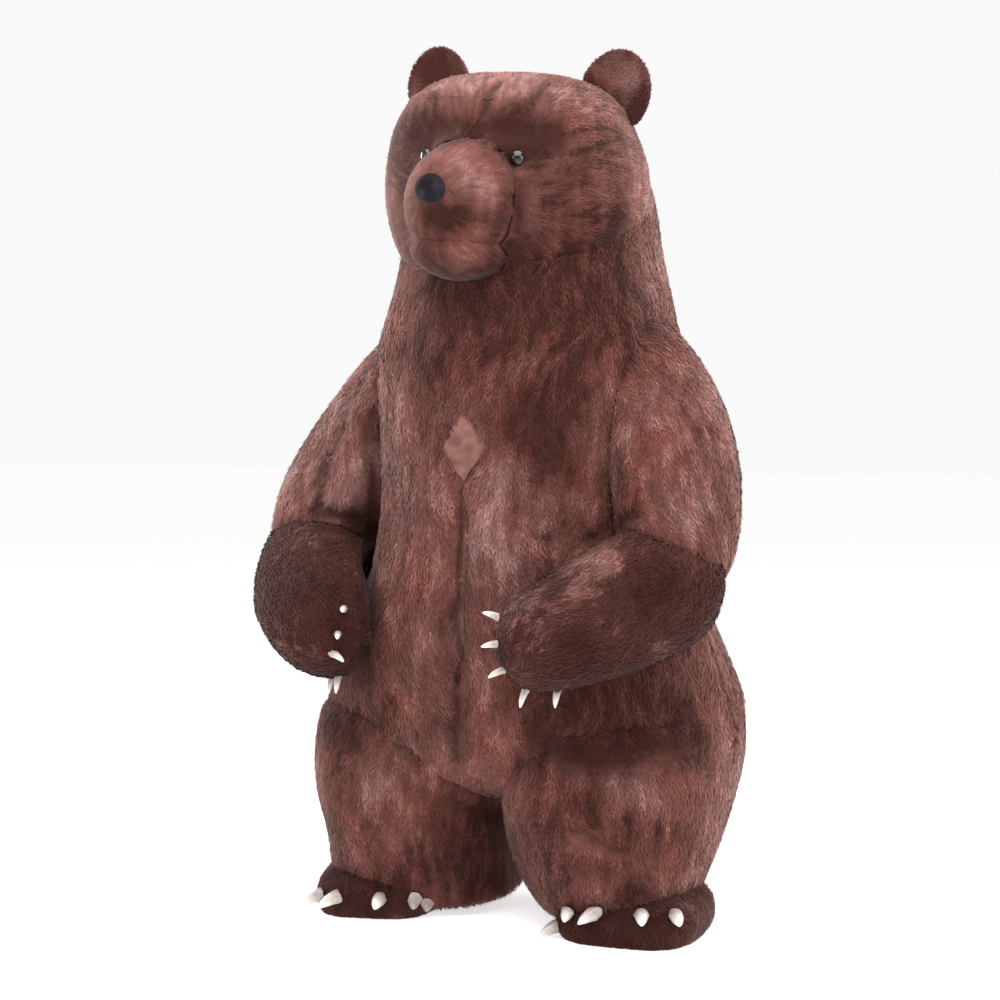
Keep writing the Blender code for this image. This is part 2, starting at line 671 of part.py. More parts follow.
def make_trunk(forms, cutters, fur):
    """Two fronts that close down the middle, and two backs."""
    trunk = forms["trunk"]
    rows = rows_of(trunk)
    window = window_prism("cut_window", SEAM)
    for side, sign in (("left", 1), ("right", -1)):
        front = panel(f"front_{side}", trunk, [sign * a for a in FRONT_ANGLES], rows, fur)
        back = panel(f"back_{side}", trunk, [sign * a for a in BACK_ANGLES], rows, fur)
        trim(front, window, cutters["muzzle"])
        for piece in (front, back):
            trim(piece, cutters["head"], cutters[f"sleeve_{side}"])
            trim(piece, cutters["leg_left"], cutters["leg_right"])


def window_prism(name, grown):
    """A hidden diamond bar through the chest."""
    wide, tall = WINDOW_WIDE / 2 + grown, WINDOW_TALL / 2 + grown
    outline = [(wide, 0), (0, tall), (-wide, 0), (0, -tall)]

    def build(body):
        ends = [
            [body.verts.new((x, y, WINDOW_HEIGHT + z)) for x, z in outline]
            for y in WINDOW_BAR
        ]
        for end in ends:
            body.faces.new(end)
        for i in range(4):
            j = (i + 1) % 4
            body.faces.new((ends[0][i], ends[0][j], ends[1][j], ends[1][i]))

    made = mesh_object(name, build, None)
    hide(made)
    return made


def make_window(forms, look):
    """The diamond of smooth cloth that the wearer sees through."""
    cloth = (look, WINDOW_CLOTH, WINDOW_INSET)
    pane = panel("window", forms["trunk"], WINDOW_ANGLES, WINDOW_ROWS, *cloth)
    trim(pane, window_prism("cut_pane", 0), operation="INTERSECT")


def make_head(forms, cutters, fur):
    """Two faces, two napes and the crown that joins them."""
    head = forms["head"]
    low = rows_of(head, 0, CROWN_ROW)
    for side, sign in (("left", 1), ("right", -1)):
        face = panel(f"face_{side}", head, [sign * a for a in FACE_ANGLES], low, fur)
        nape = panel(f"nape_{side}", head, [sign * a for a in NAPE_ANGLES], low, fur)
        trim(face, cutters["muzzle"])
        for piece in (face, nape):
            trim(piece, cutters["trunk_hollow"])
    crown_rows = rows_of(head, CROWN_ROW)
    panel("crown", head, form_degrees("head"), crown_rows, fur, around=True)


def make_muzzle(forms, cutters, fur):
    """The muzzle down to the mouth, and the jaw below it."""
    muzzle = forms["muzzle"]
    degrees = form_degrees("muzzle")
    for name, rows in (
        ("muzzle", rows_of(muzzle, MOUTH_ROW)),
        ("jaw", rows_of(muzzle, 0, MOUTH_ROW)),
    ):
        piece = panel(name, muzzle, degrees, rows, fur, around=True)
        trim(piece, cutters["head_hollow"])


def make_arms(forms, cutters, fur, dark_fur):
    """An upper sleeve, and an upper and an under forearm with its paw, on each side."""
    for side in ("left", "right"):
        sleeve_form, forearm_form = forms[f"sleeve_{side}"], forms[f"forearm_{side}"]
        degrees = form_degrees(f"sleeve_{side}")
        sleeve_rows = rows_of(sleeve_form, 0, sleeve_form.last_row - 1)
        sleeve = panel(f"sleeve_{side}", sleeve_form, degrees, sleeve_rows, fur, around=True)
        trim(sleeve, cutters["trunk_hollow"], cutters[f"forearm_{side}_hollow"])
        rows = rows_of(forearm_form)
        for name, degrees in (("upper", UPPER_ARM_ANGLES), ("under", UNDER_ARM_ANGLES)):
            forearm = panel(f"forearm_{name}_{side}", forearm_form, degrees, rows, dark_fur)
            trim(forearm, cutters[f"sleeve_{side}"])


def make_legs(forms, cutters, fur):
    """An outer and an inner leg on each side, sewn at the front and the back."""
    for side, sign in (("left", 1), ("right", -1)):
        form = forms[f"leg_{side}"]
        middle, far = sign * SEAM / 2, -sign * LEG_CUT
        low, high = (min(middle, far), -LEG_CUT, 0), (max(middle, far), LEG_CUT, LEG_CUT)
        far_side = box(f"cut_past_{side}", low, high)
        for name, degrees in (("outer", OUTER_LEG_ANGLES), ("inner", INNER_LEG_ANGLES)):
            piece = panel(f"leg_{name}_{side}", form, degrees, rows_of(form), fur)
            trim(piece, cutters["trunk_hollow"], cutters[f"foot_{side}"], far_side)


def make_feet(forms, cutters, dark_fur):
    """A foot cover on each side, open where the wearer's shoe stands on the floor."""
    for side in ("left", "right"):
        form = forms[f"foot_{side}"]
        degrees, rows = form_degrees("foot"), rows_of(form)
        name = f"foot_{side}"
        piece = panel(name, form, degrees, rows, dark_fur, around=True, on_floor=True)
        trim(piece, cutters[f"leg_{side}_hollow"])


def pointing(heading, dip):
    """A unit run along a heading from the front, and a dip below level."""
    level = math.cos(dip)
    return np.array([math.sin(heading) * level, -math.cos(heading) * level, -math.sin(dip)])


def claw_mesh(name, start, heading, dip, length, thick, look):
    """A curved cone from a round root to a blunt point, bending down along its length."""
    side = np.array([math.cos(heading), math.sin(heading), 0])
    turns = [math.tau * i / CLAW_SIDES for i in range(CLAW_SIDES)]

    def build(body):
        hoops = []
        centre = np.array(start, float)
        for step in range(CLAW_STEPS + 1):
            share = step / CLAW_STEPS
            run = pointing(heading, dip + CLAW_CURL * (share - CLAW_EASE))
            up = np.cross(side, run)
            radius = thick / 2 * math.sqrt(max(1 - share**CLAW_TAPER, CLAW_BLUNT))
            across = [side * math.cos(turn) + up * math.sin(turn) for turn in turns]
            hoops.append([body.verts.new(centre + radius * arm) for arm in across])
            centre = centre + run * (length + CLAW_ROOT) / CLAW_STEPS
        grid_faces(body, [list(column) for column in zip(*hoops)], True)
        body.faces.new(hoops[0])
        body.faces.new(hoops[-1])

    return mesh_object(name, build, look)


def make_claws(forms, cutters, ivory):
    """Five claws on each paw and each foot, trimmed by the form that carries them."""
    for side, sign in (("left", 1), ("right", -1)):
        sets = (
            ("paw", f"forearm_{side}", PAW_CLAWS[side], 1, PAW_CLAW_LONG, PAW_CLAW_THICK),
            ("foot", f"foot_{side}", FOOT_CLAWS[side], sign, FOOT_CLAW_LONG, FOOT_CLAW_THICK),
        )
        for limb, carrier, claws, flip, length, thick in sets:
            for number, claw in enumerate(claws, 1):
                heading, dip = math.radians(claw.heading) * flip, math.radians(claw.dip)
                at = forms[carrier].surface(math.radians(claw.angle), claw.row)
                start = at - pointing(heading, dip) * CLAW_ROOT
                name = f"claw_{limb}_{side}_{number}"
                piece = claw_mesh(name, start, heading, dip, length, thick, ivory)
                trim(piece, cutters[carrier])
                if limb == "foot":
                    trim(piece, cutters[f"leg_{side}"])


def domed(name, centre, turn, sizes, look, cutters, sides=16, rings=7):
    """A rounded body such as the nose or an eye, trimmed where it sits."""

    def build(body):
        made = bmesh.ops.create_uvsphere(body, u_segments=sides, v_segments=rings * 2, radius=1)
        cos, sin = math.cos(turn), math.sin(turn)
        for vertex in made["verts"]:
            x, y, z = (a * b for a, b in zip(vertex.co, sizes))
            vertex.co = np.array([x * cos - y * sin, x * sin + y * cos, z]) + centre

    piece = mesh_object(name, build, look)
    trim(piece, *cutters)
    return piece


def make_face_parts(cutters, nose_look, eye_look):
    muzzle = [cutters["muzzle"]]
    domed("nose", on_head(*NOSE_PLACE), HEAD_TURN, NOSE_SIZE, nose_look, muzzle)
    for side, sign in (("left", 1), ("right", -1)):
        place = on_head(sign * EYE_APART / 2, *EYE_PLACE)
        neighbours = [cutters["head"], *muzzle]
        domed(f"eye_{side}", place, 0, [EYE_RADIUS] * 3, eye_look, neighbours, 14, 5)


def ear_shell(name, side, front_depth, back_depth, look):
    """A round pad between two depth curves, each a function of the share of the ear's radius."""
    sign = 1 if side == "left" else -1
    splay, lean = sign * EAR_SPLAY, sign * EAR_LEAN
    middle, height = EARS_AT[side]

    def place(share, angle, depth):
        flat_x = EAR_WIDE / 2 * share * math.sin(angle)
        flat_z = EAR_TALL / 2 * share * math.cos(angle)
        x = flat_x * math.cos(lean) + flat_z * math.sin(lean)
        z = flat_z * math.cos(lean) - flat_x * math.sin(lean)
        cos, sin = math.cos(splay), math.sin(splay)
        x, y = x * cos - depth * sin, x * sin + depth * cos
        return on_head(middle + x, EAR_AHEAD + y, height + z)

    def build(body):
        layers = []
        for depth in (front_depth, back_depth):
            angles = [math.tau * i / EAR_SIDES for i in range(EAR_SIDES)]
            grid = [[place(share, turn, depth(share)) for share in EAR_SHARES] for turn in angles]
            layers.append(add_grid(body, grid))
        for layer in layers:
            grid_faces(body, layer, True)
        rims = [[one[-1], two[-1]] for one, two in zip(*layers)]
        grid_faces(body, rims, True)

    return mesh_object(name, build, look)


def ear_dish(share):
    """How far the ear's hollow front lies behind its rim."""
    return EAR_DISH * (1 - share**2)


def make_ears(cutters, fur, dark_fur):
    """A stuffed back and a dished front on each ear."""
    for side in ("left", "right"):
        front = ear_shell(
            f"ear_front_{side}",
            side,
            lambda share: ear_dish(share) - SEAM - EAR_FACE * (1 - EAR_THIN * share**4),
            lambda share: ear_dish(share) - SEAM,
            dark_fur,
        )
        back = ear_shell(
            f"ear_back_{side}",
            side,
            ear_dish,
            lambda share: EAR_RIM + EAR_BACK * math.sqrt(max(1 - share**2, 0)),
            fur,
        )
        for piece in (front, back):
            trim(piece, cutters["head"])


def centre_all():
    """Moves everything level, so that the origin is under the middle of the pieces' box."""
    bpy.context.view_layer.update()
    graph = bpy.context.evaluated_depsgraph_get()
    pieces = [thing for thing in bpy.data.objects if not thing.hide_render]
    corners = [
        np.array([vertex.co for vertex in piece.evaluated_get(graph).data.vertices])
        for piece in pieces
    ]
    low = np.min([points.min(axis=0) for points in corners], axis=0)
    high = np.max([points.max(axis=0) for points in corners], axis=0)
    for thing in bpy.data.objects:
        thing.location.x = -(low[0] + high[0]) / 2
        thing.location.y = -(low[1] + high[1]) / 2


def main():
    clear_scene()
    fur = material("fur_brown", FUR_BROWN, 0.9)
    dark_fur = material("fur_dark", FUR_DARK, 0.9)
    forms = make_forms()
    cutters = make_cutters(forms)
    make_trunk(forms, cutters, fur)
    make_window(forms, material("window_cloth", WINDOW_ROSE, 0.8))
    make_head(forms, cutters, fur)
    make_muzzle(forms, cutters, fur)
    make_ears(cutters, fur, dark_fur)
    nose_look, eye_look = material("nose_pile", NOSE_BLACK, 0.6), material("eye_gloss", EYE_BLACK, 0.08)
    make_face_parts(cutters, nose_look, eye_look)
    make_arms(forms, cutters, fur, dark_fur)
    make_legs(forms, cutters, fur)
    make_feet(forms, cutters, dark_fur)
    make_claws(forms, cutters, material("claw_ivory", CLAW_IVORY, 0.35))
    centre_all()


main()
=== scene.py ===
"""The looks of a plush bear suit: cloth with combed pile, a window, nose, eyes and claws.

Metres, +Z up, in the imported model's frame. The suit faces -Y and its left is +X. Each cloth
piece is a thin shell on the outer side of its solid, with creases pressed into it, and a nap
of small tapered blades that stands on it and reaches to the solid's own outside.
"""

import math
from collections import namedtuple
from contextlib import contextmanager

import bmesh
import bpy
import numpy as np
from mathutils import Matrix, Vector
from mathutils.bvhtree import BVHTree


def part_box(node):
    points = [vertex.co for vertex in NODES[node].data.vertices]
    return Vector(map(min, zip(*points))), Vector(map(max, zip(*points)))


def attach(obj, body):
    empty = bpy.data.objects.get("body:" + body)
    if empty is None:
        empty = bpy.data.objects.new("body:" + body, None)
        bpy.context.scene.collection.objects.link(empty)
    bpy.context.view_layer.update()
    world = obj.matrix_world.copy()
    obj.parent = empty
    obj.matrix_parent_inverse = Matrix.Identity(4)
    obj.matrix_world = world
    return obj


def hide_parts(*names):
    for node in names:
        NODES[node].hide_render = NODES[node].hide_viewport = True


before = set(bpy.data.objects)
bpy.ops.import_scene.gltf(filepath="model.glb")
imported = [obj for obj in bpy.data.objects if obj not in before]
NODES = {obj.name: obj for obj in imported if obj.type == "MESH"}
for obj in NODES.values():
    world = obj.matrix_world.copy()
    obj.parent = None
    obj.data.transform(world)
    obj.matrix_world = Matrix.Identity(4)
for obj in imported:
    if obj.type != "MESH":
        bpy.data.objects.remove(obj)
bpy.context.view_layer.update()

MIDDLE = np.array([0.0662, 0.0934, 0.0])  # where the suit's own upright axis stands

CLOTH_THICK = 0.003
MERGE = 0.00002  # corners nearer than this are one
OFF_FACE = 0.0005  # a ray starts this far from its own face
WALL_REACH = 0.018  # an outer face has its wall's inner face within this distance
SHARP = math.radians(42)  # a wall's outside, inside and rims meet at more than this
TURN_OUT = 0.4  # how much the outside turns away from its limb's bones, on the whole
CORNER = math.radians(24)  # the edge of a piece turns by more than this at a corner
# The allowance that a piece tucks under its neighbour: how far it reaches, and how far under.
Seam = namedtuple("Seam", "reach drop")
SEAMS = {"body": Seam(0.006, 0.005), "face": Seam(0.008, 0.003), "muzzle": Seam(0.012, 0.001)}
DARKEST = 0.84  # the most that a crease shades the pile
WANDER = 0.012  # how far a crease strays from a straight run
SAME_SIDE = 0.035  # a crease works on cloth that is no higher or lower than this
SHORTER = 0.55  # how much of its length the pile loses in the darkest crease
ROUND_RISE, ROUND_REACH = 0.014, 0.055  # the soft inner corner where the muzzle meets the face
SHARE = 1.0  # of the blades
BACK_SHARE = 0.8  # of the blades on the two back pieces

# Kinds of pile. The cloth lies sink under the solid's outside, and its blades rise to that
# outside: count of them on a square metre, which start at the angle rise and end at lay.
Pile = namedtuple("Pile", "long wide sink count rise lay tone")
PILES = {
    "body": Pile(0.023, 0.0044, 0.005, 25500, 22, 1, 0.00),
    "paw": Pile(0.024, 0.0042, 0.005, 29000, 20, 0, 0.00),
    "head": Pile(0.012, 0.0034, 0.004, 58000, 20, 1, -0.13),
    "muzzle": Pile(0.010, 0.0028, 0.003, 90000, 20, 1, -0.12),
}
# The short pile of an ear and of the nose, with blades for the number on the whole pad.
Fuzz = namedtuple("Fuzz", "long wide blades rise lay")
EAR_FUZZ = Fuzz(0.011, 0.0042, 7000, 34, 6)
NOSE_FUZZ = Fuzz(0.006, 0.0022, 9000, 40, 8)
TURN_SPREAD, ROLL_SPREAD, LIFT_SPREAD = math.radians(13), 0.16, 6  # how much blades differ
LONG_RANGE, WIDE_RANGE, TONE_SPREAD = (0.65, 1.25), (0.7, 1.3), 0.035
# Blades are painted darker towards the root, as painted shade deep in the pile.
HEIGHTS = np.array([0.0, 0.55, 0.55, 1.0])  # of a blade's root, sides and tip, for its colour
LEAN_ROOT, LEAN_SIDE, LEAN_TIP = -0.10, 0.14, 0.20  # how its normals lean from the cloth's own
ROOT_DEPTH = 0.0012  # how far a blade's root goes into the cloth
OFF_FLOOR = 0.0005  # no blade hangs lower than this

# A limb is a run of bones that its cloth goes round. flow says which way its pile is combed.
Limb = namedtuple("Limb", "bones flow pile seam", defaults=["body"])
# A crease runs between two places on the cloth. dark is how much its pile shades it.
Crease = namedtuple("Crease", "x_a y_a z_a x_b y_b z_b width depth dark")
# A patch is where the pile is painted lighter (above 0), as painted light, or darker (below 0),
# as painted shade.
PaintedLightPatch = namedtuple("PaintedLightPatch", "x y z radius tone")
Lamp = namedtuple("Lamp", "name turn height away size power")

LIMBS = {
    "trunk": Limb([(0.065, 0.093, 0.45), (0.065, 0.093, 2.10)], "down", "body"),
    "head": Limb([(0.065, 0.003, 2.00), (0.095, 0.003, 2.30)], "face", "head", "face"),
    "muzzle": Limb([(0.034, -0.257, 1.97), (0.044, -0.257, 2.14)], "face", "muzzle", "muzzle"),
    "leg_left": Limb([(0.385, 0.073, 0.62), (0.405, 0.013, 0.10)], "down", "body"),
    "leg_right": Limb([(-0.256, 0.073, 0.62), (-0.256, 0.003, 0.10)], "down", "body"),
    "foot_left": Limb([(0.476, -0.057, 0.00), (0.476, -0.042, 0.05)], "down", "paw"),
    "foot_right": Limb([(-0.340, -0.097, 0.00), (-0.340, -0.080, 0.05)], "down", "paw"),
    "sleeve_left": Limb(
        [
            (0.255, 0.083, 1.72), (0.445, 0.053, 1.575),
            (0.514, 0.023, 1.46), (0.594, -0.087, 1.09),
        ],
        "along", "body",
    ),
    "sleeve_right": Limb(
        [
            (-0.126, 0.093, 1.72), (-0.316, 0.083, 1.575),
            (-0.495, 0.043, 1.325), (-0.596, -0.017, 1.09),
        ],
        "along", "body",
    ),
    "forearm_left": Limb(
        [
            (0.664, 0.003, 1.04), (0.596, -0.117, 1.012),
            (0.481, -0.307, 0.938), (0.330, -0.515, 0.865),
        ],
        "along", "paw",
    ),
    "forearm_right": Limb(
        [
            (-0.646, 0.093, 1.05), (-0.596, -0.027, 1.01),
            (-0.435, -0.297, 0.885), (-0.305, -0.417, 0.83),
        ],
        "along", "paw",
    ),
}
LIMB_OF = {
    "front": "trunk", "back": "trunk", "face": "head", "nape": "head", "crown": "head",
    "jaw": "muzzle",
}
# The ways that pile is combed: along a limb with some drop, or back over the head.
ALONG_DROP, FACE_DRIFT = np.array([0.0, 0.0, -0.35]), np.array([0.0, 0.12, -0.10])
SWIRL_WIDE, SWIRL_FINE = math.radians(34), math.radians(20)  # how far the pile strays from it
FACE_START = np.array([0.02, -0.47, 2.10])  # the pile of the head is combed back from here
GROW_FROM, GROW_OVER = 0.24, 0.35  # from that distance, and over that run, it doubles in length
STREAK = 0.16  # how much one lock differs in tone from the next
TONE_MIDDLE, TONE_LOWEST, TONE_HIGHEST = 0.42, 0.06, 0.95
# Clouds of tone: how strong, how large (on all axes, or on each), and which part of the noise.
TONE_CLOUDS = [
    (0.20, 0.15, 3.0),
    (0.15, 0.060, 11.0),
    (0.14, (0.020, 0.020, 0.12), 17.0),
    (0.06, 0.024, 41.0),
]
RUST, MAUVE = (1.12, 0.90, 0.84), (0.93, 1.04, 1.12)  # what the pile's colour is multiplied by
# Each kind of pile has a deep, a body and a bright colour, and a sheen; the deep colour is also
# its painted shade.
PILE_COLOURS = {
    "fur_brown": ((0.030, 0.009, 0.007), (0.150, 0.059, 0.047), (0.420, 0.212, 0.184), 0.20),
    "fur_dark": ((0.028, 0.009, 0.007), (0.058, 0.020, 0.016), (0.260, 0.117, 0.099), 0.12),
    "nose_pile": ((0.003, 0.003, 0.005), (0.014, 0.013, 0.021), (0.055, 0.050, 0.070), 0.20),
}

# Each crease is pressed into the cloth and painted with shade along it.
CREASES = [
    # the closure down the front: painted shade along a narrow line in a soft trough
    (0.051, -0.356, 1.283, 0.048, -0.357, 1.13, 0.009, 0.003, 0.8),
    (0.048, -0.357, 1.13, 0.05, -0.367, 0.961, 0.01, 0.004, 0.95),
    (0.05, -0.367, 0.961, 0.053, -0.379, 0.735, 0.011, 0.005, 1.0),
    (0.053, -0.379, 0.735, 0.034, -0.338, 0.5, 0.012, 0.006, 1.0),
    (0.05, -0.358, 1.2, 0.053, -0.379, 0.735, 0.03, 0.007, 0.3),
    (0.053, -0.379, 0.735, 0.04, -0.338, 0.5, 0.034, 0.009, 0.4),
    # the forehead's two dents and the brow
    (0.108, -0.207, 2.44, 0.072, -0.272, 2.35, 0.015, 0.012, 1.0),
    (0.25, -0.182, 2.43, 0.213, -0.257, 2.345, 0.017, 0.013, 1.0),
    (-0.145, -0.222, 2.3, -0.015, -0.259, 2.285, 0.03, 0.008, 0.55),
    (0.12, -0.278, 2.29, 0.275, -0.244, 2.268, 0.036, 0.014, 1.0),
    (0.32, -0.226, 2.272, 0.43, -0.09, 2.3, 0.01, 0.005, 0.8),
    (0.329, -0.225, 2.213, 0.42, -0.125, 2.262, 0.01, 0.005, 0.7),
    # round the muzzle, and down from the nose
    (0.142, -0.278, 2.243, 0.205, -0.271, 2.12, 0.018, 0.003, 0.45),
    (0.205, -0.271, 2.12, 0.191, -0.262, 1.94, 0.02, 0.004, 0.55),
    (0.021, -0.465, 2.07, 0.009, -0.427, 1.985, 0.014, 0.005, 0.85),
    # the chest, the side seam and under the arm
    (-0.354, -0.135, 1.49, -0.398, -0.061, 1.155, 0.022, 0.008, 0.7),
    (-0.388, -0.057, 1.12, -0.295, -0.237, 0.9, 0.04, 0.012, 0.9),
    (0.244, -0.329, 1.52, 0.349, -0.255, 1.3, 0.05, 0.008, 0.6),
    (0.27, -0.317, 1.149, 0.311, -0.291, 1.14, 0.011, 0.008, 0.95),
    (0.205, -0.332, 1.34, 0.22, -0.332, 1.18, 0.014, 0.005, 0.4),
    # the left sleeve
    (0.534, -0.248, 1.213, 0.405, -0.227, 1.136, 0.022, 0.014, 1.0),
    (0.549, -0.116, 1.631, 0.725, -0.08, 1.434, 0.016, 0.006, 0.4),
    (0.606, -0.139, 1.557, 0.753, -0.134, 1.279, 0.018, 0.008, 0.5),
    (0.544, -0.215, 1.415, 0.62, -0.256, 1.196, 0.02, 0.006, 0.35),
    (0.675, -0.092, 1.526, 0.779, -0.09, 1.192, 0.014, 0.005, 0.4),
    (0.644, -0.147, 1.35, 0.734, -0.147, 1.13, 0.016, 0.006, 0.35),
    # the right sleeve
    (-0.543, -0.181, 1.188, -0.419, -0.092, 1.156, 0.024, 0.01, 1.0),
    (-0.524, -0.177, 1.21, -0.496, -0.163, 1.362, 0.016, 0.012, 1.0),
    (-0.496, -0.163, 1.362, -0.448, -0.143, 1.469, 0.018, 0.01, 0.8),
    (-0.6, -0.15, 1.23, -0.56, -0.13, 1.37, 0.014, 0.007, 0.45),
    (-0.396, -0.062, 1.664, -0.49, -0.16, 1.377, 0.018, 0.008, 0.55),
    (-0.49, -0.16, 1.377, -0.541, -0.177, 1.27, 0.018, 0.01, 0.75),
    (-0.495, 0.003, 1.52, -0.636, -0.017, 1.28, 0.016, 0.006, 0.35),
    # the legs
    (0.29, -0.369, 0.59, 0.405, -0.369, 0.56, 0.03, 0.012, 0.75),
    (0.405, -0.369, 0.56, 0.53, -0.321, 0.538, 0.044, 0.014, 0.85),
    (0.53, -0.321, 0.538, 0.694, -0.126, 0.57, 0.03, 0.012, 0.6),
    (0.412, -0.379, 0.33, 0.547, -0.317, 0.28, 0.018, 0.008, 0.6),
    (0.474, -0.347, 0.245, 0.565, -0.287, 0.215, 0.016, 0.005, 0.35),
    (-0.209, -0.373, 0.29, -0.247, -0.307, 0.11, 0.01, 0.005, 0.65),
    (-0.167, -0.356, 0.593, -0.088, -0.34, 0.474, 0.018, 0.007, 0.5),
    (-0.355, -0.297, 0.54, -0.245, -0.357, 0.47, 0.02, 0.006, 0.3),
    (-0.017, -0.288, 0.366, 0.054, -0.098, 0.31, 0.03, 0.008, 0.7),
    (0.239, -0.349, 0.516, 0.209, -0.327, 0.396, 0.014, 0.006, 0.7),
    (0.604, -0.237, 0.33, 0.579, -0.247, 0.15, 0.012, 0.005, 0.45),
    # the back, the seat and the backs of the legs
    (0.067, 0.563, 1.7, 0.067, 0.563, 0.62, 0.018, 0.009, 0.8),
    (0.304, 0.483, 1.12, 0.124, 0.543, 0.98, 0.03, 0.009, 0.5),
    (-0.215, 0.473, 1.06, -0.015, 0.553, 0.9, 0.026, 0.008, 0.45),
    (-0.145, 0.503, 1.78, 0.225, 0.523, 1.82, 0.034, 0.01, 0.5),
    (0.405, 0.363, 1.56, 0.304, 0.473, 1.3, 0.03, 0.008, 0.45),
    (-0.295, 0.383, 1.5, -0.175, 0.483, 1.22, 0.028, 0.008, 0.45),
    (0.255, 0.563, 0.64, 0.604, 0.383, 0.59, 0.034, 0.012, 0.75),
    (-0.115, 0.563, 0.64, -0.465, 0.383, 0.58, 0.034, 0.012, 0.75),
    (0.354, 0.443, 0.3, 0.524, 0.373, 0.25, 0.02, 0.008, 0.5),
    (-0.215, 0.443, 0.32, -0.396, 0.363, 0.26, 0.022, 0.008, 0.5),
    (0.784, 0.063, 1.45, 0.774, 0.003, 1.2, 0.018, 0.006, 0.4),
    (-0.685, 0.123, 1.33, -0.716, 0.053, 1.16, 0.018, 0.006, 0.4),
]
CREASES = [Crease(*row) for row in CREASES]
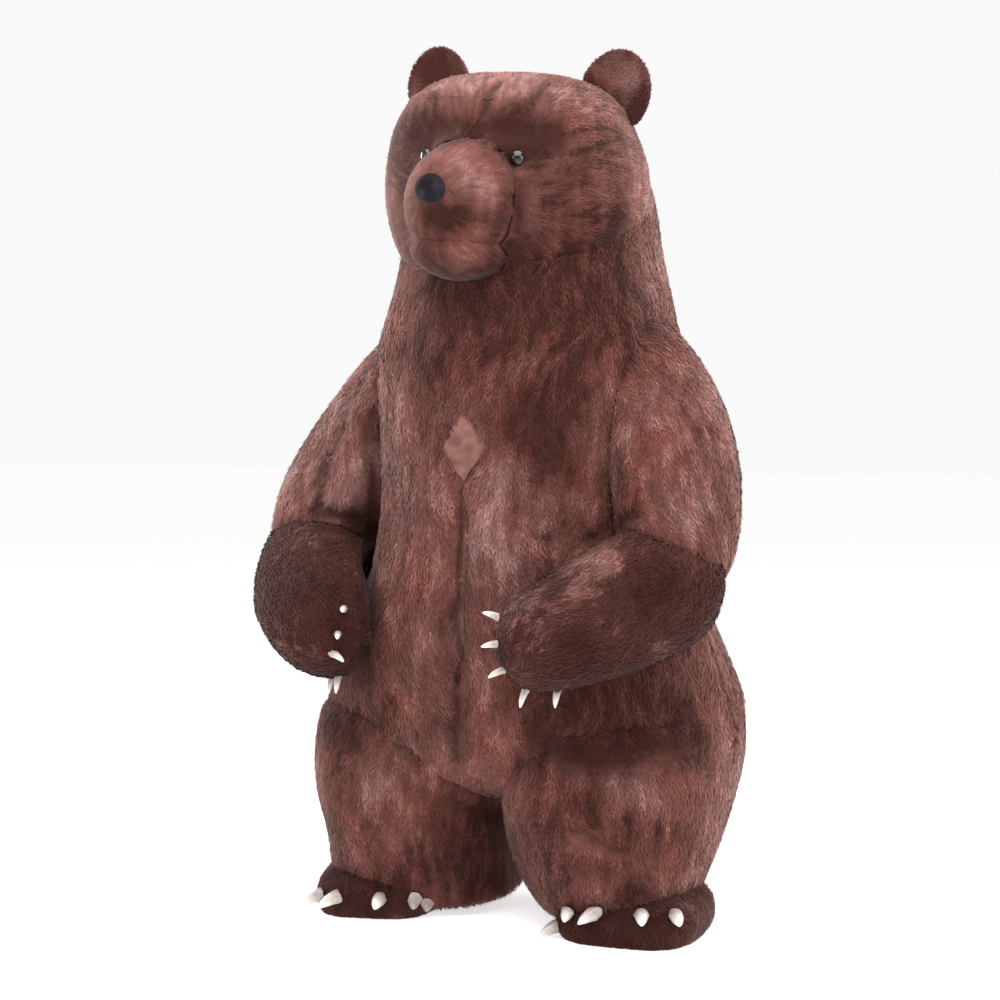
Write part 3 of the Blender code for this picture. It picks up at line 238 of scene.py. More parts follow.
PAINTED_LIGHT_PATCHES = [
    # shade under the arms and the paws, over the hips, and on the leg tops
    (-0.389, -0.391, 0.709, 0.07, -0.9),
    (-0.401, -0.316, 0.58, 0.1, -0.7),
    (-0.26, -0.383, 0.56, 0.11, -0.45),
    (-0.348, -0.376, 0.459, 0.09, -0.55),
    (0.477, -0.508, 0.791, 0.11, -0.7),
    (0.564, -0.368, 0.78, 0.11, -0.7),
    (0.61, -0.147, 0.754, 0.12, -0.75),
    (0.399, -0.33, 0.66, 0.13, -0.6),
    (0.522, -0.265, 0.623, 0.1, -0.75),
    (0.66, -0.1, 0.54, 0.1, -0.5),
    (0.632, -0.163, 0.616, 0.11, -0.6),
    (0.423, -0.383, 0.39, 0.08, -0.55),
    (0.554, -0.34, 0.36, 0.09, -0.45),
    (0.409, -0.351, 0.223, 0.1, -0.5),
    (0.539, -0.304, 0.226, 0.09, -0.3),
    (-0.253, -0.339, 0.046, 0.11, -0.7),
    (0.394, -0.315, 0.049, 0.12, -0.6),
    (0.653, -0.252, 0.073, 0.1, -0.45),
    # the head: painted light on the pale crown, painted shade on the brow, the eye hollows and
    # the muzzle under the nose
    (0.034, -0.197, 2.47, 0.12, 0.75),
    (0.16, -0.17, 2.47, 0.12, 0.6),
    (0.335, -0.147, 2.42, 0.09, 0.3),
    (-0.115, -0.207, 2.44, 0.08, 0.7),
    (-0.115, -0.245, 2.32, 0.09, -0.4),
    (0.061, -0.274, 2.315, 0.1, -0.6),
    (0.347, -0.218, 2.157, 0.09, -0.25),
    (0.428, -0.097, 2.025, 0.11, -0.75),
    (-0.18, -0.215, 2.18, 0.08, -0.75),
    (0.34, -0.2, 1.991, 0.08, -0.2),
    (-0.243, -0.195, 2.074, 0.08, -0.2),
    (0.175, -0.266, 2.262, 0.07, -1.1),
    (0.253, -0.249, 2.245, 0.06, -0.8),
    (-0.126, -0.237, 2.27, 0.055, -0.6),
    (0.304, -0.232, 2.13, 0.09, 0.1),
    (0.115, -0.397, 2.2, 0.08, 0.65),
    (0.14, -0.367, 2.1, 0.06, 0.6),
    (0.065, -0.437, 2.04, 0.05, -0.55),
    (0.014, -0.457, 2.03, 0.05, -0.35),
    (-0.066, -0.397, 2.05, 0.05, -0.2),
    (0.085, -0.387, 1.95, 0.07, 0.7),
    (0.465, 0.053, 2.15, 0.12, 0.45),
    (0.465, -0.02, 2.21, 0.07, 0.3),
    (0.456, -0.053, 2.09, 0.06, 0.35),
    (0.465, 0.019, 1.94, 0.08, 0.5),
    (0.374, -0.147, 2.0, 0.08, 0.1),
    # the ears: painted light on their upper and outer rims, painted shade lower down
    (0.41, 0.04, 2.46, 0.06, 0.7),
    (0.28, 0.04, 2.42, 0.06, -0.6),
    (-0.3, 0.04, 2.54, 0.06, 0.5),
    (-0.225, 0.04, 2.5, 0.05, 0.6),
    (-0.31, 0.04, 2.42, 0.06, -0.4),
    # the neck and chest, in painted shade and painted light
    (0.287, -0.221, 1.879, 0.11, -0.4),
    (0.427, -0.115, 1.839, 0.11, -0.55),
    (0.31, -0.237, 1.752, 0.12, -0.35),
    (0.43, -0.128, 1.725, 0.1, -0.5),
    (0.362, -0.251, 1.61, 0.1, -0.3),
    (-0.348, -0.134, 1.454, 0.08, -0.7),
    (0.327, -0.29, 1.38, 0.07, -0.45),
    (-0.083, -0.339, 1.456, 0.08, -0.45),
    (0.327, -0.272, 1.23, 0.06, 0.4),
    (0.165, -0.267, 1.8, 0.17, -0.8),
    (0.385, -0.157, 1.8, 0.11, -0.6),
    (-0.056, -0.257, 1.82, 0.12, -0.55),
    (0.255, -0.317, 1.5, 0.13, -0.5),
    (-0.056, -0.347, 1.6, 0.09, -0.35),
    (0.165, -0.347, 1.56, 0.07, 0.25),
    (-0.235, -0.267, 1.58, 0.12, 0.25),
    (0.145, -0.367, 1.12, 0.15, 0.25),
    (-0.145, -0.337, 1.15, 0.13, 0.2),
    (-0.326, -0.177, 1.25, 0.08, 0.35),
    # the arms, in painted shade and painted light
    (0.49, -0.216, 1.33, 0.06, -0.6),
    (0.659, -0.243, 1.197, 0.09, 0.55),
    (0.747, -0.165, 1.195, 0.09, 0.35),
    (0.35, -0.583, 0.953, 0.07, 0.4),
    (0.616, -0.391, 0.96, 0.08, -0.3),
    (0.704, -0.137, 1.35, 0.16, 0.4),
    (0.565, -0.197, 1.45, 0.14, 0.15),
    (-0.596, -0.117, 1.25, 0.14, 0.45),
    (-0.475, -0.057, 1.5, 0.14, 0.45),
    (0.504, -0.397, 0.98, 0.16, 0.45),
    (0.473, -0.4, 1.091, 0.08, 0.6),
    (0.56, -0.35, 1.105, 0.07, 0.45),
    (0.645, -0.34, 1.04, 0.075, -1.1),
    (0.744, -0.177, 1.02, 0.11, -0.5),
    (0.645, -0.29, 0.85, 0.055, 0.35),
    (0.49, -0.53, 0.9, 0.06, -0.5),
    (-0.326, -0.417, 0.96, 0.12, -0.35),
    # the belly and legs, in painted shade and painted light
    (0.405, -0.367, 0.64, 0.15, -0.65),
    (-0.256, -0.367, 0.76, 0.13, -0.55),
    (0.044, -0.297, 0.3, 0.15, -0.65),
    (0.424, -0.367, 0.44, 0.12, 0.05),
    (-0.295, -0.367, 0.4, 0.15, 0.05),
    (0.624, -0.147, 0.4, 0.14, -0.15),
    (0.065, -0.197, 0.14, 0.13, -0.8),
]
PAINTED_LIGHT_PATCHES = [PaintedLightPatch(*row) for row in PAINTED_LIGHT_PATCHES]
# The rectangle that each piece is cut from, and the area of the cut, measured over the cloth.
Cut = namedtuple("Cut", "wide long area")
CUTS = {
    "front_left": Cut(0.89, 1.56, 0.906),
    "front_right": Cut(0.89, 1.55, 0.936),
    "back_left": Cut(0.93, 2.27, 1.246),
    "back_right": Cut(0.92, 2.27, 1.216),
    "face_left": Cut(0.48, 0.50, 0.172),
    "face_right": Cut(0.47, 0.52, 0.183),
    "nape_left": Cut(0.61, 0.41, 0.139),
    "nape_right": Cut(0.61, 0.47, 0.170),
    "crown": Cut(0.69, 0.57, 0.315),
    "muzzle": Cut(0.92, 0.36, 0.181),
    "jaw": Cut(0.57, 0.26, 0.084),
    "sleeve_left": Cut(1.18, 0.85, 0.577),
    "sleeve_right": Cut(1.20, 0.84, 0.597),
    "forearm_upper_left": Cut(0.52, 0.78, 0.267),
    "forearm_upper_right": Cut(0.60, 0.79, 0.287),
    "forearm_under_left": Cut(0.48, 1.00, 0.320),
    "forearm_under_right": Cut(0.58, 0.88, 0.362),
    "leg_outer_left": Cut(1.33, 0.69, 0.664),
    "leg_outer_right": Cut(1.33, 0.69, 0.691),
    "leg_inner_left": Cut(1.04, 0.63, 0.401),
    "leg_inner_right": Cut(1.03, 0.62, 0.405),
    "foot_left": Cut(1.51, 0.18, 0.129),
    "foot_right": Cut(1.44, 0.16, 0.114),
}
LAMPS = [
    Lamp("ceiling", 20, 5.0, 1.6, 4.5, 330),
    Lamp("front_right", 70, 2.6, 4.2, 2.6, 80),
    Lamp("front_left", -40, 2.4, 4.6, 2.6, 50),
    Lamp("back_left_edge", -95, 2.8, 3.8, 2.0, 140),
    Lamp("back_right_edge", 135, 2.6, 3.8, 2.0, 150),
]

EYES = {"eye_left": (0.1879, -0.2565, 2.2088), "eye_right": (-0.1141, -0.2302, 2.2353)}
EYE_RADIUS, EYE_FLATTER = 0.0245, 0.10  # the front of a dome is that share flatter
LIP_OUT, LIP_BACK, LIP_WIDE = 0.0020, 0.005, 0.003
NOSE_CENTRE, NOSE_SIZE, NOSE_TURN = (0.0093, -0.4487, 2.1124), (0.049, 0.039, 0.045), -5
NOSE_SINK = 0.004  # the pad is this much smaller than its solid all round, for its fuzz
NOSTRIL_APART, NOSTRIL_LOW, NOSTRIL_WIDE, NOSTRIL_DEEP = 0.020, 0.012, 0.010, 0.005
CLAW_SWELL = 0.0012  # a claw gains this when it is rounded, as rounding shrinks it

CAMERA_TURN, CAMERA_AWAY, CAMERA_HEIGHT = 25.0, 5.78, 1.49
CAMERA_LENS, CAMERA_DOWN, CAMERA_YAW = 68.5, 2.617, 0.933
SENSOR = 36  # millimetres
LAMPS_AIM = 1.3  # the height that the lamps point at
FLOOR_WHITE, FLOOR_GLOW = 0.90, 0.66
SKY_SEEN, SKY_LIGHT = 0.95, 0.34  # the white surround as the camera sees it, and as it lights


def limb_of(node):
    """The limb that a cloth node belongs to."""
    kind, side = node.split("_")[0], node.split("_")[-1]
    if kind in ("leg", "forearm"):
        return LIMBS[f"{kind}_{side}"]
    return LIMBS[LIMB_OF.get(kind, node)]


# ---- numbers on points ----


def unit(vectors):
    return vectors / np.maximum(np.linalg.norm(vectors, axis=-1, keepdims=True), 1e-9)


def along_surface(ways, facing):
    """The part of each direction that lies in the surface."""
    return ways - facing * (ways * facing).sum(axis=1, keepdims=True)


def along_bones(points, bones):
    """The nearest place on a run of bones to each point, and that bone's direction."""
    bones = np.array(bones, float)
    nearest = np.zeros_like(points)
    heading = np.zeros_like(points)
    best = np.full(len(points), 1e9)
    for start, end in zip(bones[:-1], bones[1:]):
        run = end - start
        share = np.clip((points - start) @ run / (run @ run), 0, 1)
        place = start + share[:, None] * run
        gap = np.linalg.norm(points - place, axis=1)
        closer = gap < best
        best[closer] = gap[closer]
        nearest[closer] = place[closer]
        heading[closer] = run / np.linalg.norm(run)
    return nearest, heading


NOISE = np.random.default_rng(7).uniform(-1, 1, (32, 32, 32))


def ripple(points, size, shift=0.0):
    """Smooth noise from -1 to 1. size is one number, or one for each axis."""
    place = points / np.asarray(size) + shift
    low = np.floor(place).astype(int)
    part = place - low
    part = part * part * (3 - 2 * part)
    total = np.zeros(len(points))
    for corner in range(8):
        step = np.array([corner & 1, corner >> 1 & 1, corner >> 2 & 1])
        weight = np.prod(np.where(step == 1, part, 1 - part), axis=1)
        x, y, z = ((low + step) % 32).T
        total += weight * NOISE[x, y, z]
    return total


def outside_of(*nodes):
    """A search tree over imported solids: the named ones, or all of them."""
    points, faces = [], []
    for node in [NODES[name] for name in nodes] or NODES.values():
        start = len(points)
        points += [vertex.co.copy() for vertex in node.data.vertices]
        faces += [[start + i for i in polygon.vertices] for polygon in node.data.polygons]
    return BVHTree.FromPolygons(points, faces)


def lay_creases(tree):
    """Each crease as a run of points on the cloth."""
    laid = []
    for crease in CREASES:
        start, end = np.array(crease[:3]), np.array(crease[3:6])
        run = np.array([start + (end - start) * share for share in np.linspace(0, 1, 9)])
        drift = [ripple(run, 0.09, shift) for shift in (51.0, 57.0, 63.0)]
        run = run + WANDER * np.stack(drift, axis=1)
        laid.append(np.array([tree.find_nearest(Vector(point))[0] for point in run]))
    return laid


def crease_at(points, facing, laid):
    """How far the cloth is pressed in at each point, and how much it is shaded there."""
    depth, dark = np.zeros(len(points)), np.zeros(len(points))
    for crease, run in zip(CREASES, laid):
        reach = 3 * crease.width + SAME_SIDE
        near = np.where(
            ((points > run.min(axis=0) - reach) & (points < run.max(axis=0) + reach)).all(axis=1)
        )[0]
        if not len(near):
            continue
        place, _ = along_bones(points[near], run)
        uneven = 1 + 0.35 * ripple(points[near], 0.06, 5.0)
        gap = points[near] - place
        height = (gap * facing[near]).sum(axis=1)
        aside = np.linalg.norm(gap - facing[near] * height[:, None], axis=1)
        press = np.exp(-((aside / (crease.width * uneven)) ** 2)) * (np.abs(height) < SAME_SIDE)
        depth[near] += crease.depth * press
        dark[near] = np.maximum(dark[near], crease.dark * press * uneven)
    return depth, np.clip(dark, 0, DARKEST)


def round_in(node, points, facing):
    """Lifts the cloth where the muzzle and the face meet, so that their inner corner is soft."""
    rise, close = np.zeros_like(points), np.zeros(len(points))
    if node.startswith(("muzzle", "jaw")):
        other = outside_of("face_left", "face_right")
    elif node.startswith("face"):
        other = outside_of("muzzle", "jaw")
    else:
        return rise, close
    eyes = np.array(list(EYES.values()))
    for index, (point, normal) in enumerate(zip(points, facing)):
        _, across, _, gap = other.find_nearest(Vector(point), ROUND_REACH)
        if across is None:
            continue
        clear = np.clip(np.linalg.norm(eyes - point, axis=1).min() / EYE_RADIUS - 1.1, 0, 1)
        way = Vector(normal) + across
        close[index] = (1 - gap / ROUND_REACH) ** 2
        if way.length > 0.2:
            rise[index] = np.array(way.normalized()) * ROUND_RISE * clear * close[index]
    return rise, close


def growth(points, limb):
    """How many times its kind's length the pile has: on the head it grows towards the nape."""
    if limb.flow != "face":
        return np.ones(len(points))
    away = np.linalg.norm(points - FACE_START, axis=1)
    return 1 + np.clip((away - GROW_FROM) / GROW_OVER, 0, 1)


def streaks(points, lie, size):
    """Noise drawn out along the pile, as locks that lie together."""
    steps = range(-3, 4)
    return sum(ripple(points + lie * size * step, size * 1.6, 47.0) for step in steps) / 3.0


def tone_and_painted_light_at(points):
    """How light the pile is at each point, from 0 to 1: its clouds of tone, with painted light
    and shade.
    """
    tone = np.full(len(points), TONE_MIDDLE)
    for strength, size, shift in TONE_CLOUDS:
        tone += strength * ripple(points, size, shift)
    for patch in PAINTED_LIGHT_PATCHES:
        away = np.linalg.norm(points - np.array(patch[:3]), axis=1) / patch.radius
        tone += 0.5 * patch.tone * np.exp(-(away**2))
    return np.clip(tone, TONE_LOWEST, TONE_HIGHEST)


def hue_at(points):
    """How mauve the pile is at each point, from 0 (rust) to 1. Lighter pile, painted light too,
    is more mauve.
    """
    cloud = 0.35 * ripple(points, 0.11, 23.0) + 0.2 * ripple(points, 0.04, 29.0)
    return np.clip(0.5 + cloud + 1.1 * (tone_and_painted_light_at(points) - 0.48), 0, 1)


# ---- materials ----


def link(tree, start, end):
    tree.links.new(start, end)


def set_inputs(node, **values):
    """Sets a node's inputs by their names, which have _ here for each space."""
    for name, value in values.items():
        node.inputs[name.replace("_", " ")].default_value = value


def pile_group():
    """The colour of pile: from its tone with painted light and shade, its height from root to
    tip, and its painted shade in creases.
    """
    group = bpy.data.node_groups.new("pile_colour", "ShaderNodeTree")
    for name in ("Lay", "Height", "Shade", "Hue"):
        group.interface.new_socket(name, in_out="INPUT", socket_type="NodeSocketFloat")
    for name in ("Deep", "Body", "Bright"):
        group.interface.new_socket(name, in_out="INPUT", socket_type="NodeSocketColor")
    group.interface.new_socket("Colour", in_out="OUTPUT", socket_type="NodeSocketColor")
    nodes = group.nodes
    source, result = nodes.new("NodeGroupInput"), nodes.new("NodeGroupOutput")

    def spread(low, high, value):
        node = nodes.new("ShaderNodeMapRange")
        set_inputs(node, From_Min=low, From_Max=high)
        link(group, value, node.inputs["Value"])
        return node.outputs["Result"]

    def mix(share, first, second, kind="MIX"):
        node = nodes.new("ShaderNodeMix")
        node.data_type = "RGBA"
        node.blend_type = kind
        if isinstance(share, float):
            node.inputs["Factor"].default_value = share
        else:
            link(group, share, node.inputs["Factor"])
        link(group, first, node.inputs[6])
        link(group, second, node.inputs[7])
        return node.outputs[2]

    given = source.outputs
    # The tone, painted light and shade included, picks between the deep, body and bright colours.
    low_half = mix(spread(0.0, 0.5, given["Lay"]), given["Deep"], given["Body"])
    lay = mix(spread(0.5, 1.0, given["Lay"]), low_half, given["Bright"])
    # Painted shade: the pile is darker towards its roots and in its creases.
    rooted = mix(spread(-1.8, 0.6, given["Height"]), given["Deep"], lay)
    shaded = mix(given["Shade"], rooted, given["Deep"])
    tints = []
    for tint in (RUST, MAUVE):
        node = nodes.new("ShaderNodeRGB")
        node.outputs[0].default_value = (*tint, 1)
        tints.append(node.outputs[0])
    tint = mix(given["Hue"], *tints)
    link(group, mix(1.0, shaded, tint, "MULTIPLY"), result.inputs["Colour"])
    return group


def principled(name, roughness, sheen=0.0, sheen_rough=0.4, tint=(1, 1, 1)):
    """A new material, its nodes and its shader."""
    made = bpy.data.materials.new(name)
    made.use_nodes = True
    shader = made.node_tree.nodes["Principled BSDF"]
    set_inputs(
        shader, Roughness=roughness, Sheen_Weight=sheen, Sheen_Roughness=sheen_rough,
        Sheen_Tint=(*tint, 1),
    )
    return made, made.node_tree, shader


def pile_material(name, group, deep, body, bright, sheen):
    """Long pile: its colours come from the blades' own tone with painted light, height and
    painted shade.
    """
    made, tree, shader = principled(name, 0.85, sheen, 0.45, (1.0, 0.72, 0.66))
    set_inputs(shader, Specular_IOR_Level=0.12)
    read = tree.nodes.new("ShaderNodeAttribute")
    read.attribute_name = "pile"
    parts = tree.nodes.new("ShaderNodeSeparateColor")
    link(tree, read.outputs["Color"], parts.inputs["Color"])
    colour = tree.nodes.new("ShaderNodeGroup")
    colour.node_tree = group
    for socket, part in (("Lay", "Red"), ("Height", "Green"), ("Shade", "Blue")):
        link(tree, parts.outputs[part], colour.inputs[socket])
    link(tree, read.outputs["Alpha"], colour.inputs["Hue"])
    set_inputs(colour, Deep=(*deep, 1), Body=(*body, 1), Bright=(*bright, 1))
    link(tree, colour.outputs["Colour"], shader.inputs["Base Color"])
    return made


def object_noise(tree, scale, detail=2.0):
    """Noise through the piece: the coordinates that it is read at, and its value."""
    place = tree.nodes.new("ShaderNodeTexCoord")
    cloud = tree.nodes.new("ShaderNodeTexNoise")
    set_inputs(cloud, Scale=scale, Detail=detail)
    link(tree, place.outputs["Object"], cloud.inputs["Vector"])
    return place.outputs["Object"], cloud.outputs["Fac"]


def colour_by(tree, shader, value, *stops):
    """Colours the surface between two stops, each a value and its colour."""
    ramp = tree.nodes.new("ShaderNodeValToRGB")
    for element, (position, colour) in zip(ramp.color_ramp.elements, stops):
        element.position = position
        element.color = (*colour, 1)
    link(tree, value, ramp.inputs["Fac"])
    link(tree, ramp.outputs["Color"], shader.inputs["Base Color"])


def raise_by(tree, shader, height, strength, distance):
    """Bumps the surface by a height."""
    bump = tree.nodes.new("ShaderNodeBump")
    set_inputs(bump, Strength=strength, Distance=distance)
    link(tree, height, bump.inputs["Height"])
    link(tree, bump.outputs["Normal"], shader.inputs["Normal"])


def window_material():
    """Thin smooth cloth with a fine plain weave and a soft unevenness of colour."""
    made, tree, shader = principled("window_cloth", 0.75, 0.25, 0.4, (1.0, 0.85, 0.80))
    place, cloud = object_noise(tree, 26, 3)
    colour_by(tree, shader, cloud, (0.35, (0.105, 0.034, 0.026)), (0.65, (0.200, 0.078, 0.060)))
    weave = tree.nodes.new("ShaderNodeMath")
    weave.operation = "ADD"
    for threads, direction in enumerate(("X", "Z")):
        wave = tree.nodes.new("ShaderNodeTexWave")
        wave.bands_direction = direction
        set_inputs(wave, Scale=260)
        link(tree, place, wave.inputs["Vector"])
        link(tree, wave.outputs["Fac"], weave.inputs[threads])
    raise_by(tree, shader, weave.outputs[0], 0.25, 0.0006)
    return made


def eye_material():
    """Polished dark plastic with a faint warm depth."""
    made, tree, shader = principled("eye_gloss", 0.10)
    set_inputs(shader, Specular_IOR_Level=0.55)
    _, cloud = object_noise(tree, 60)
    colour_by(tree, shader, cloud, (0.0, (0.004, 0.003, 0.003)), (1.0, (0.020, 0.010, 0.007)))
    return made


def claw_material():
    """Satin ivory plastic, greyer at the root, with a fine unevenness."""
    made, tree, shader = principled("claw_ivory", 0.38)
    set_inputs(shader, Coat_Weight=0.25)
    read = tree.nodes.new("ShaderNodeAttribute")
    read.attribute_name = "root"
    _, cloud = object_noise(tree, 90, 4)
    add = tree.nodes.new("ShaderNodeMath")
    add.operation = "MULTIPLY_ADD"
    add.inputs[1].default_value = 0.5
    link(tree, cloud, add.inputs[0])
    link(tree, read.outputs["Fac"], add.inputs[2])
    tip, root = (0.780, 0.720, 0.690), (0.330, 0.270, 0.250)
    colour_by(tree, shader, add.outputs[0], (0.35, tip), (1.0, root))
    raise_by(tree, shader, cloud, 0.2, 0.001)
    return made


# ---- cloth and pile ----


def settle(slot, *pieces):
    """Lets pieces ride on the suit's one body."""
    for piece in pieces:
        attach(piece, "root")


def choose(piece):
    """Selects one piece alone."""
    bpy.ops.object.select_all(action="DESELECT")
    piece.select_set(True)
    bpy.context.view_layer.objects.active = piece


@contextmanager
def editing(piece):
    """Edit mode on one piece, with all of it selected."""
    choose(piece)
    bpy.ops.object.mode_set(mode="EDIT")
    bpy.ops.mesh.select_all(action="SELECT")
    yield
    bpy.ops.object.mode_set(mode="OBJECT")


def finish_modifier(piece, kind, **settings):
    """Adds a modifier and applies it."""
    choose(piece)
    modifier = piece.modifiers.new(kind.lower(), kind)
    for name, value in settings.items():
        setattr(modifier, name, value)
    bpy.ops.object.modifier_apply(modifier=modifier.name)


def put_in_order(mesh):
    """Lists a mesh's points and faces by place, as a sphere's come in another order each run."""
    points, _ = mesh_arrays(mesh)
    order = np.lexsort(points.T)
    place = np.argsort(order)
    rings = [place[list(polygon.vertices)].tolist() for polygon in mesh.polygons]
    starts = [ring.index(min(ring)) for ring in rings]
    mesh.clear_geometry()
    faces = sorted(ring[start:] + ring[:start] for ring, start in zip(rings, starts))
    mesh.from_pydata(points[order].tolist(), [], faces)


def copy_of(node, name):
    """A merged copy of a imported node, as a piece of its own."""
    piece = bpy.data.objects.new(name, NODES[node].data.copy())
    bpy.context.scene.collection.objects.link(piece)
    piece.data.materials.clear()
    with editing(piece):
        bpy.ops.mesh.remove_doubles(threshold=MERGE)
    if piece.data.has_custom_normals:
        bpy.ops.mesh.customdata_custom_splitnormals_clear()
    return piece


def smooth_runs(body, sides):
    """The faces in runs that meet smoothly on one side of the wall, as its outside does."""
    seen, runs = set(), []
    for start in body.faces:
        if start.index in seen:
            continue
        seen.add(start.index)
        waiting, run = [start], []
        while waiting:
            face = waiting.pop()
            run.append(face.index)
            for edge in face.edges:
                if len(edge.link_faces) != 2 or edge.calc_face_angle() > SHARP:
                    continue
                for other in edge.link_faces:
                    if other.index not in seen and sides[other.index] == sides[face.index]:
                        seen.add(other.index)
                        waiting.append(other)
        runs.append(run)
    return runs


def keep_outer_faces(piece, limb):
    """Deletes the wall's inner faces and rims, and leaves its outside as one sheet of quads."""
    body = bmesh.new()
    body.from_mesh(piece.data)
    body.faces.ensure_lookup_table()
    tree = BVHTree.FromBMesh(body)
    centres = np.array([face.calc_center_median() for face in body.faces])
    facing = np.array([face.normal for face in body.faces])
    areas = np.array([face.calc_area() for face in body.faces])
    nearest, _ = along_bones(centres, limb.bones)
    turned_out = (unit(centres - nearest) * facing).sum(axis=1)
    backed = np.zeros(len(areas))
    for index, (centre, normal) in enumerate(zip(centres, facing)):
        inward = Vector(-normal)
        hit = tree.ray_cast(Vector(centre) + inward * OFF_FACE, inward, WALL_REACH)
        backed[index] = hit[0] is not None
    for run in smooth_runs(body, turned_out > 0):
        share = areas[run] / areas[run].sum()
        outer = share @ turned_out[run] > TURN_OUT and share @ backed[run] > 0.5
        for index in run:
            body.faces[index].select_set(not outer)
    body.to_mesh(piece.data)
    body.free()
    choose(piece)
    bpy.context.tool_settings.mesh_select_mode = (False, False, True)
    bpy.ops.object.mode_set(mode="EDIT")
    bpy.ops.mesh.delete(type="FACE")
    bpy.ops.mesh.select_all(action="SELECT")
    bpy.ops.mesh.tris_convert_to_quads(
        face_threshold=math.radians(35), shape_threshold=math.radians(45)
    )
    bpy.ops.object.mode_set(mode="OBJECT")


def edges_of(mesh):
    """The edges that have a face on one side only, as pairs of vertices in their face's order."""
    count = {}
    for polygon in mesh.polygons:
        ring = list(polygon.vertices)
        for first, second in zip(ring, ring[1:] + ring[:1]):
            key = (min(first, second), max(first, second))
            count.setdefault(key, []).append((first, second, polygon.index))
    return [users[0] for users in count.values() if len(users) == 1]


def hold_corners(piece):
    """Marks the corners of the piece's edge, so that smoothing doesn't round them off."""
    mesh = piece.data
    arriving, leaving = {}, {}
    for first, second, _ in edges_of(mesh):
        run = (mesh.vertices[second].co - mesh.vertices[first].co).normalized()
        leaving[first], arriving[second] = run, run
    held = np.zeros(len(mesh.vertices))
    for vertex, run in leaving.items():
        if vertex in arriving and run.dot(arriving[vertex]) < math.cos(CORNER):
            held[vertex] = 1
    mesh.attributes.new("crease_vert", "FLOAT", "POINT").data.foreach_set("value", held)


def add_allowance(piece, seam):
    """Turns a narrow strip along the piece's edge under its neighbour, as a sewn seam does."""
    mesh = piece.data
    points, facing = mesh_arrays(mesh)
    out = np.zeros_like(points)
    edges = edges_of(mesh)
    for first, second, face in edges:
        run = points[second] - points[first]
        away = np.cross(run, np.array(mesh.polygons[face].normal))
        out[first] += away
        out[second] += away
    target = points + unit(out) * seam.reach - facing * seam.drop
    target[:, 2] = np.maximum(target[:, 2], 0.0)
    # Extruding would list the new faces in another order each run, and the pile follows it.
    body = bmesh.new()
    body.from_mesh(mesh)
    sewn = list(body.verts)
    rim = sorted({index for edge in edges for index in edge[:2]})
    turned = {index: body.verts.new(target[index]) for index in rim}
    for first, second, _ in edges:
        body.faces.new((sewn[second], sewn[first], turned[first], turned[second]))
    body.to_mesh(mesh)
    body.free()
    mesh.update()


def mesh_arrays(mesh):
    """Where a mesh's points are, and the way that its surface faces at each."""
    points = np.empty(len(mesh.vertices) * 3)
    mesh.vertices.foreach_get("co", points)
    facing = np.empty(len(mesh.vertices) * 3)
    mesh.vertices.foreach_get("normal", facing)
    return points.reshape(-1, 3), facing.reshape(-1, 3)


def cloth_shell(node, laid):
    """The node's cloth: its outside, smoothed, let in for the pile and pressed along creases."""
    limb = limb_of(node)
    piece = copy_of(node, f"cloth_{node}")
    keep_outer_faces(piece, limb)
    hold_corners(piece)
    finish_modifier(
        piece, "SUBSURF", levels=2, render_levels=2, boundary_smooth="PRESERVE_CORNERS"
    )
    points, facing = mesh_arrays(piece.data)
    depth, _ = crease_at(points, facing, laid)
    rise, close = round_in(node, points, facing)
    points = points + rise - facing * (PILES[limb.pile].sink * (1 - close) + depth)[:, None]
    points[:, 2] = np.maximum(points[:, 2], 0.0)
    piece.data.vertices.foreach_set("co", points.ravel())
    piece.data.update()
    return piece, limb


def comb(points, facing, limb):
    """The way that the pile lies at each point."""
    _, heading = along_bones(points, limb.bones)
    if limb.flow == "down":
        lie = np.tile([0.0, 0.0, -1.0], (len(points), 1))
    elif limb.flow == "along":
        lie = heading + ALONG_DROP
    else:
        lie = unit(points - FACE_START) + FACE_DRIFT
    swirl = SWIRL_WIDE * ripple(points, 0.12, 31.0) + SWIRL_FINE * ripple(points, 0.045, 37.0)
    lie = unit(along_surface(lie, facing))
    across = np.cross(facing, lie)
    return unit(lie * np.cos(swirl)[:, None] + across * np.sin(swirl)[:, None])


def scatter(mesh, count, rng):
    """Points spread evenly over a mesh, with smooth normals."""
    mesh.calc_loop_triangles()
    corners = np.empty(len(mesh.loop_triangles) * 3, int)
    mesh.loop_triangles.foreach_get("vertices", corners)
    corners = corners.reshape(-1, 3)
    points, facing = mesh_arrays(mesh)
    sides = points[corners[:, 1:]] - points[corners[:, :1]]
    areas = np.linalg.norm(np.cross(sides[:, 0], sides[:, 1]), axis=1) / 2
    ends = np.cumsum(areas)
    mark = (np.arange(count) + rng.random(count)) / count * ends[-1]
    chosen = np.minimum(np.searchsorted(ends, mark), len(areas) - 1)
    first, second = np.sqrt(rng.random(count)), rng.random(count)
    share = np.stack([1 - first, first * (1 - second), first * second], 1)
    placed = (points[corners[chosen]] * share[..., None]).sum(axis=1)
    turned = unit((facing[corners[chosen]] * share[..., None]).sum(axis=1))
    return placed, turned, ends[-1]


def store_pile(mesh, lay, height, shade, hue):
    """Stores what the pile's colour is made from at each point of a mesh, painted light and shade
    too.
    """
    values = np.stack(np.broadcast_arrays(lay, height, shade, hue), axis=-1)
    made = mesh.attributes.new("pile", "FLOAT_COLOR", "POINT")
    made.data.foreach_set("color", values.ravel())


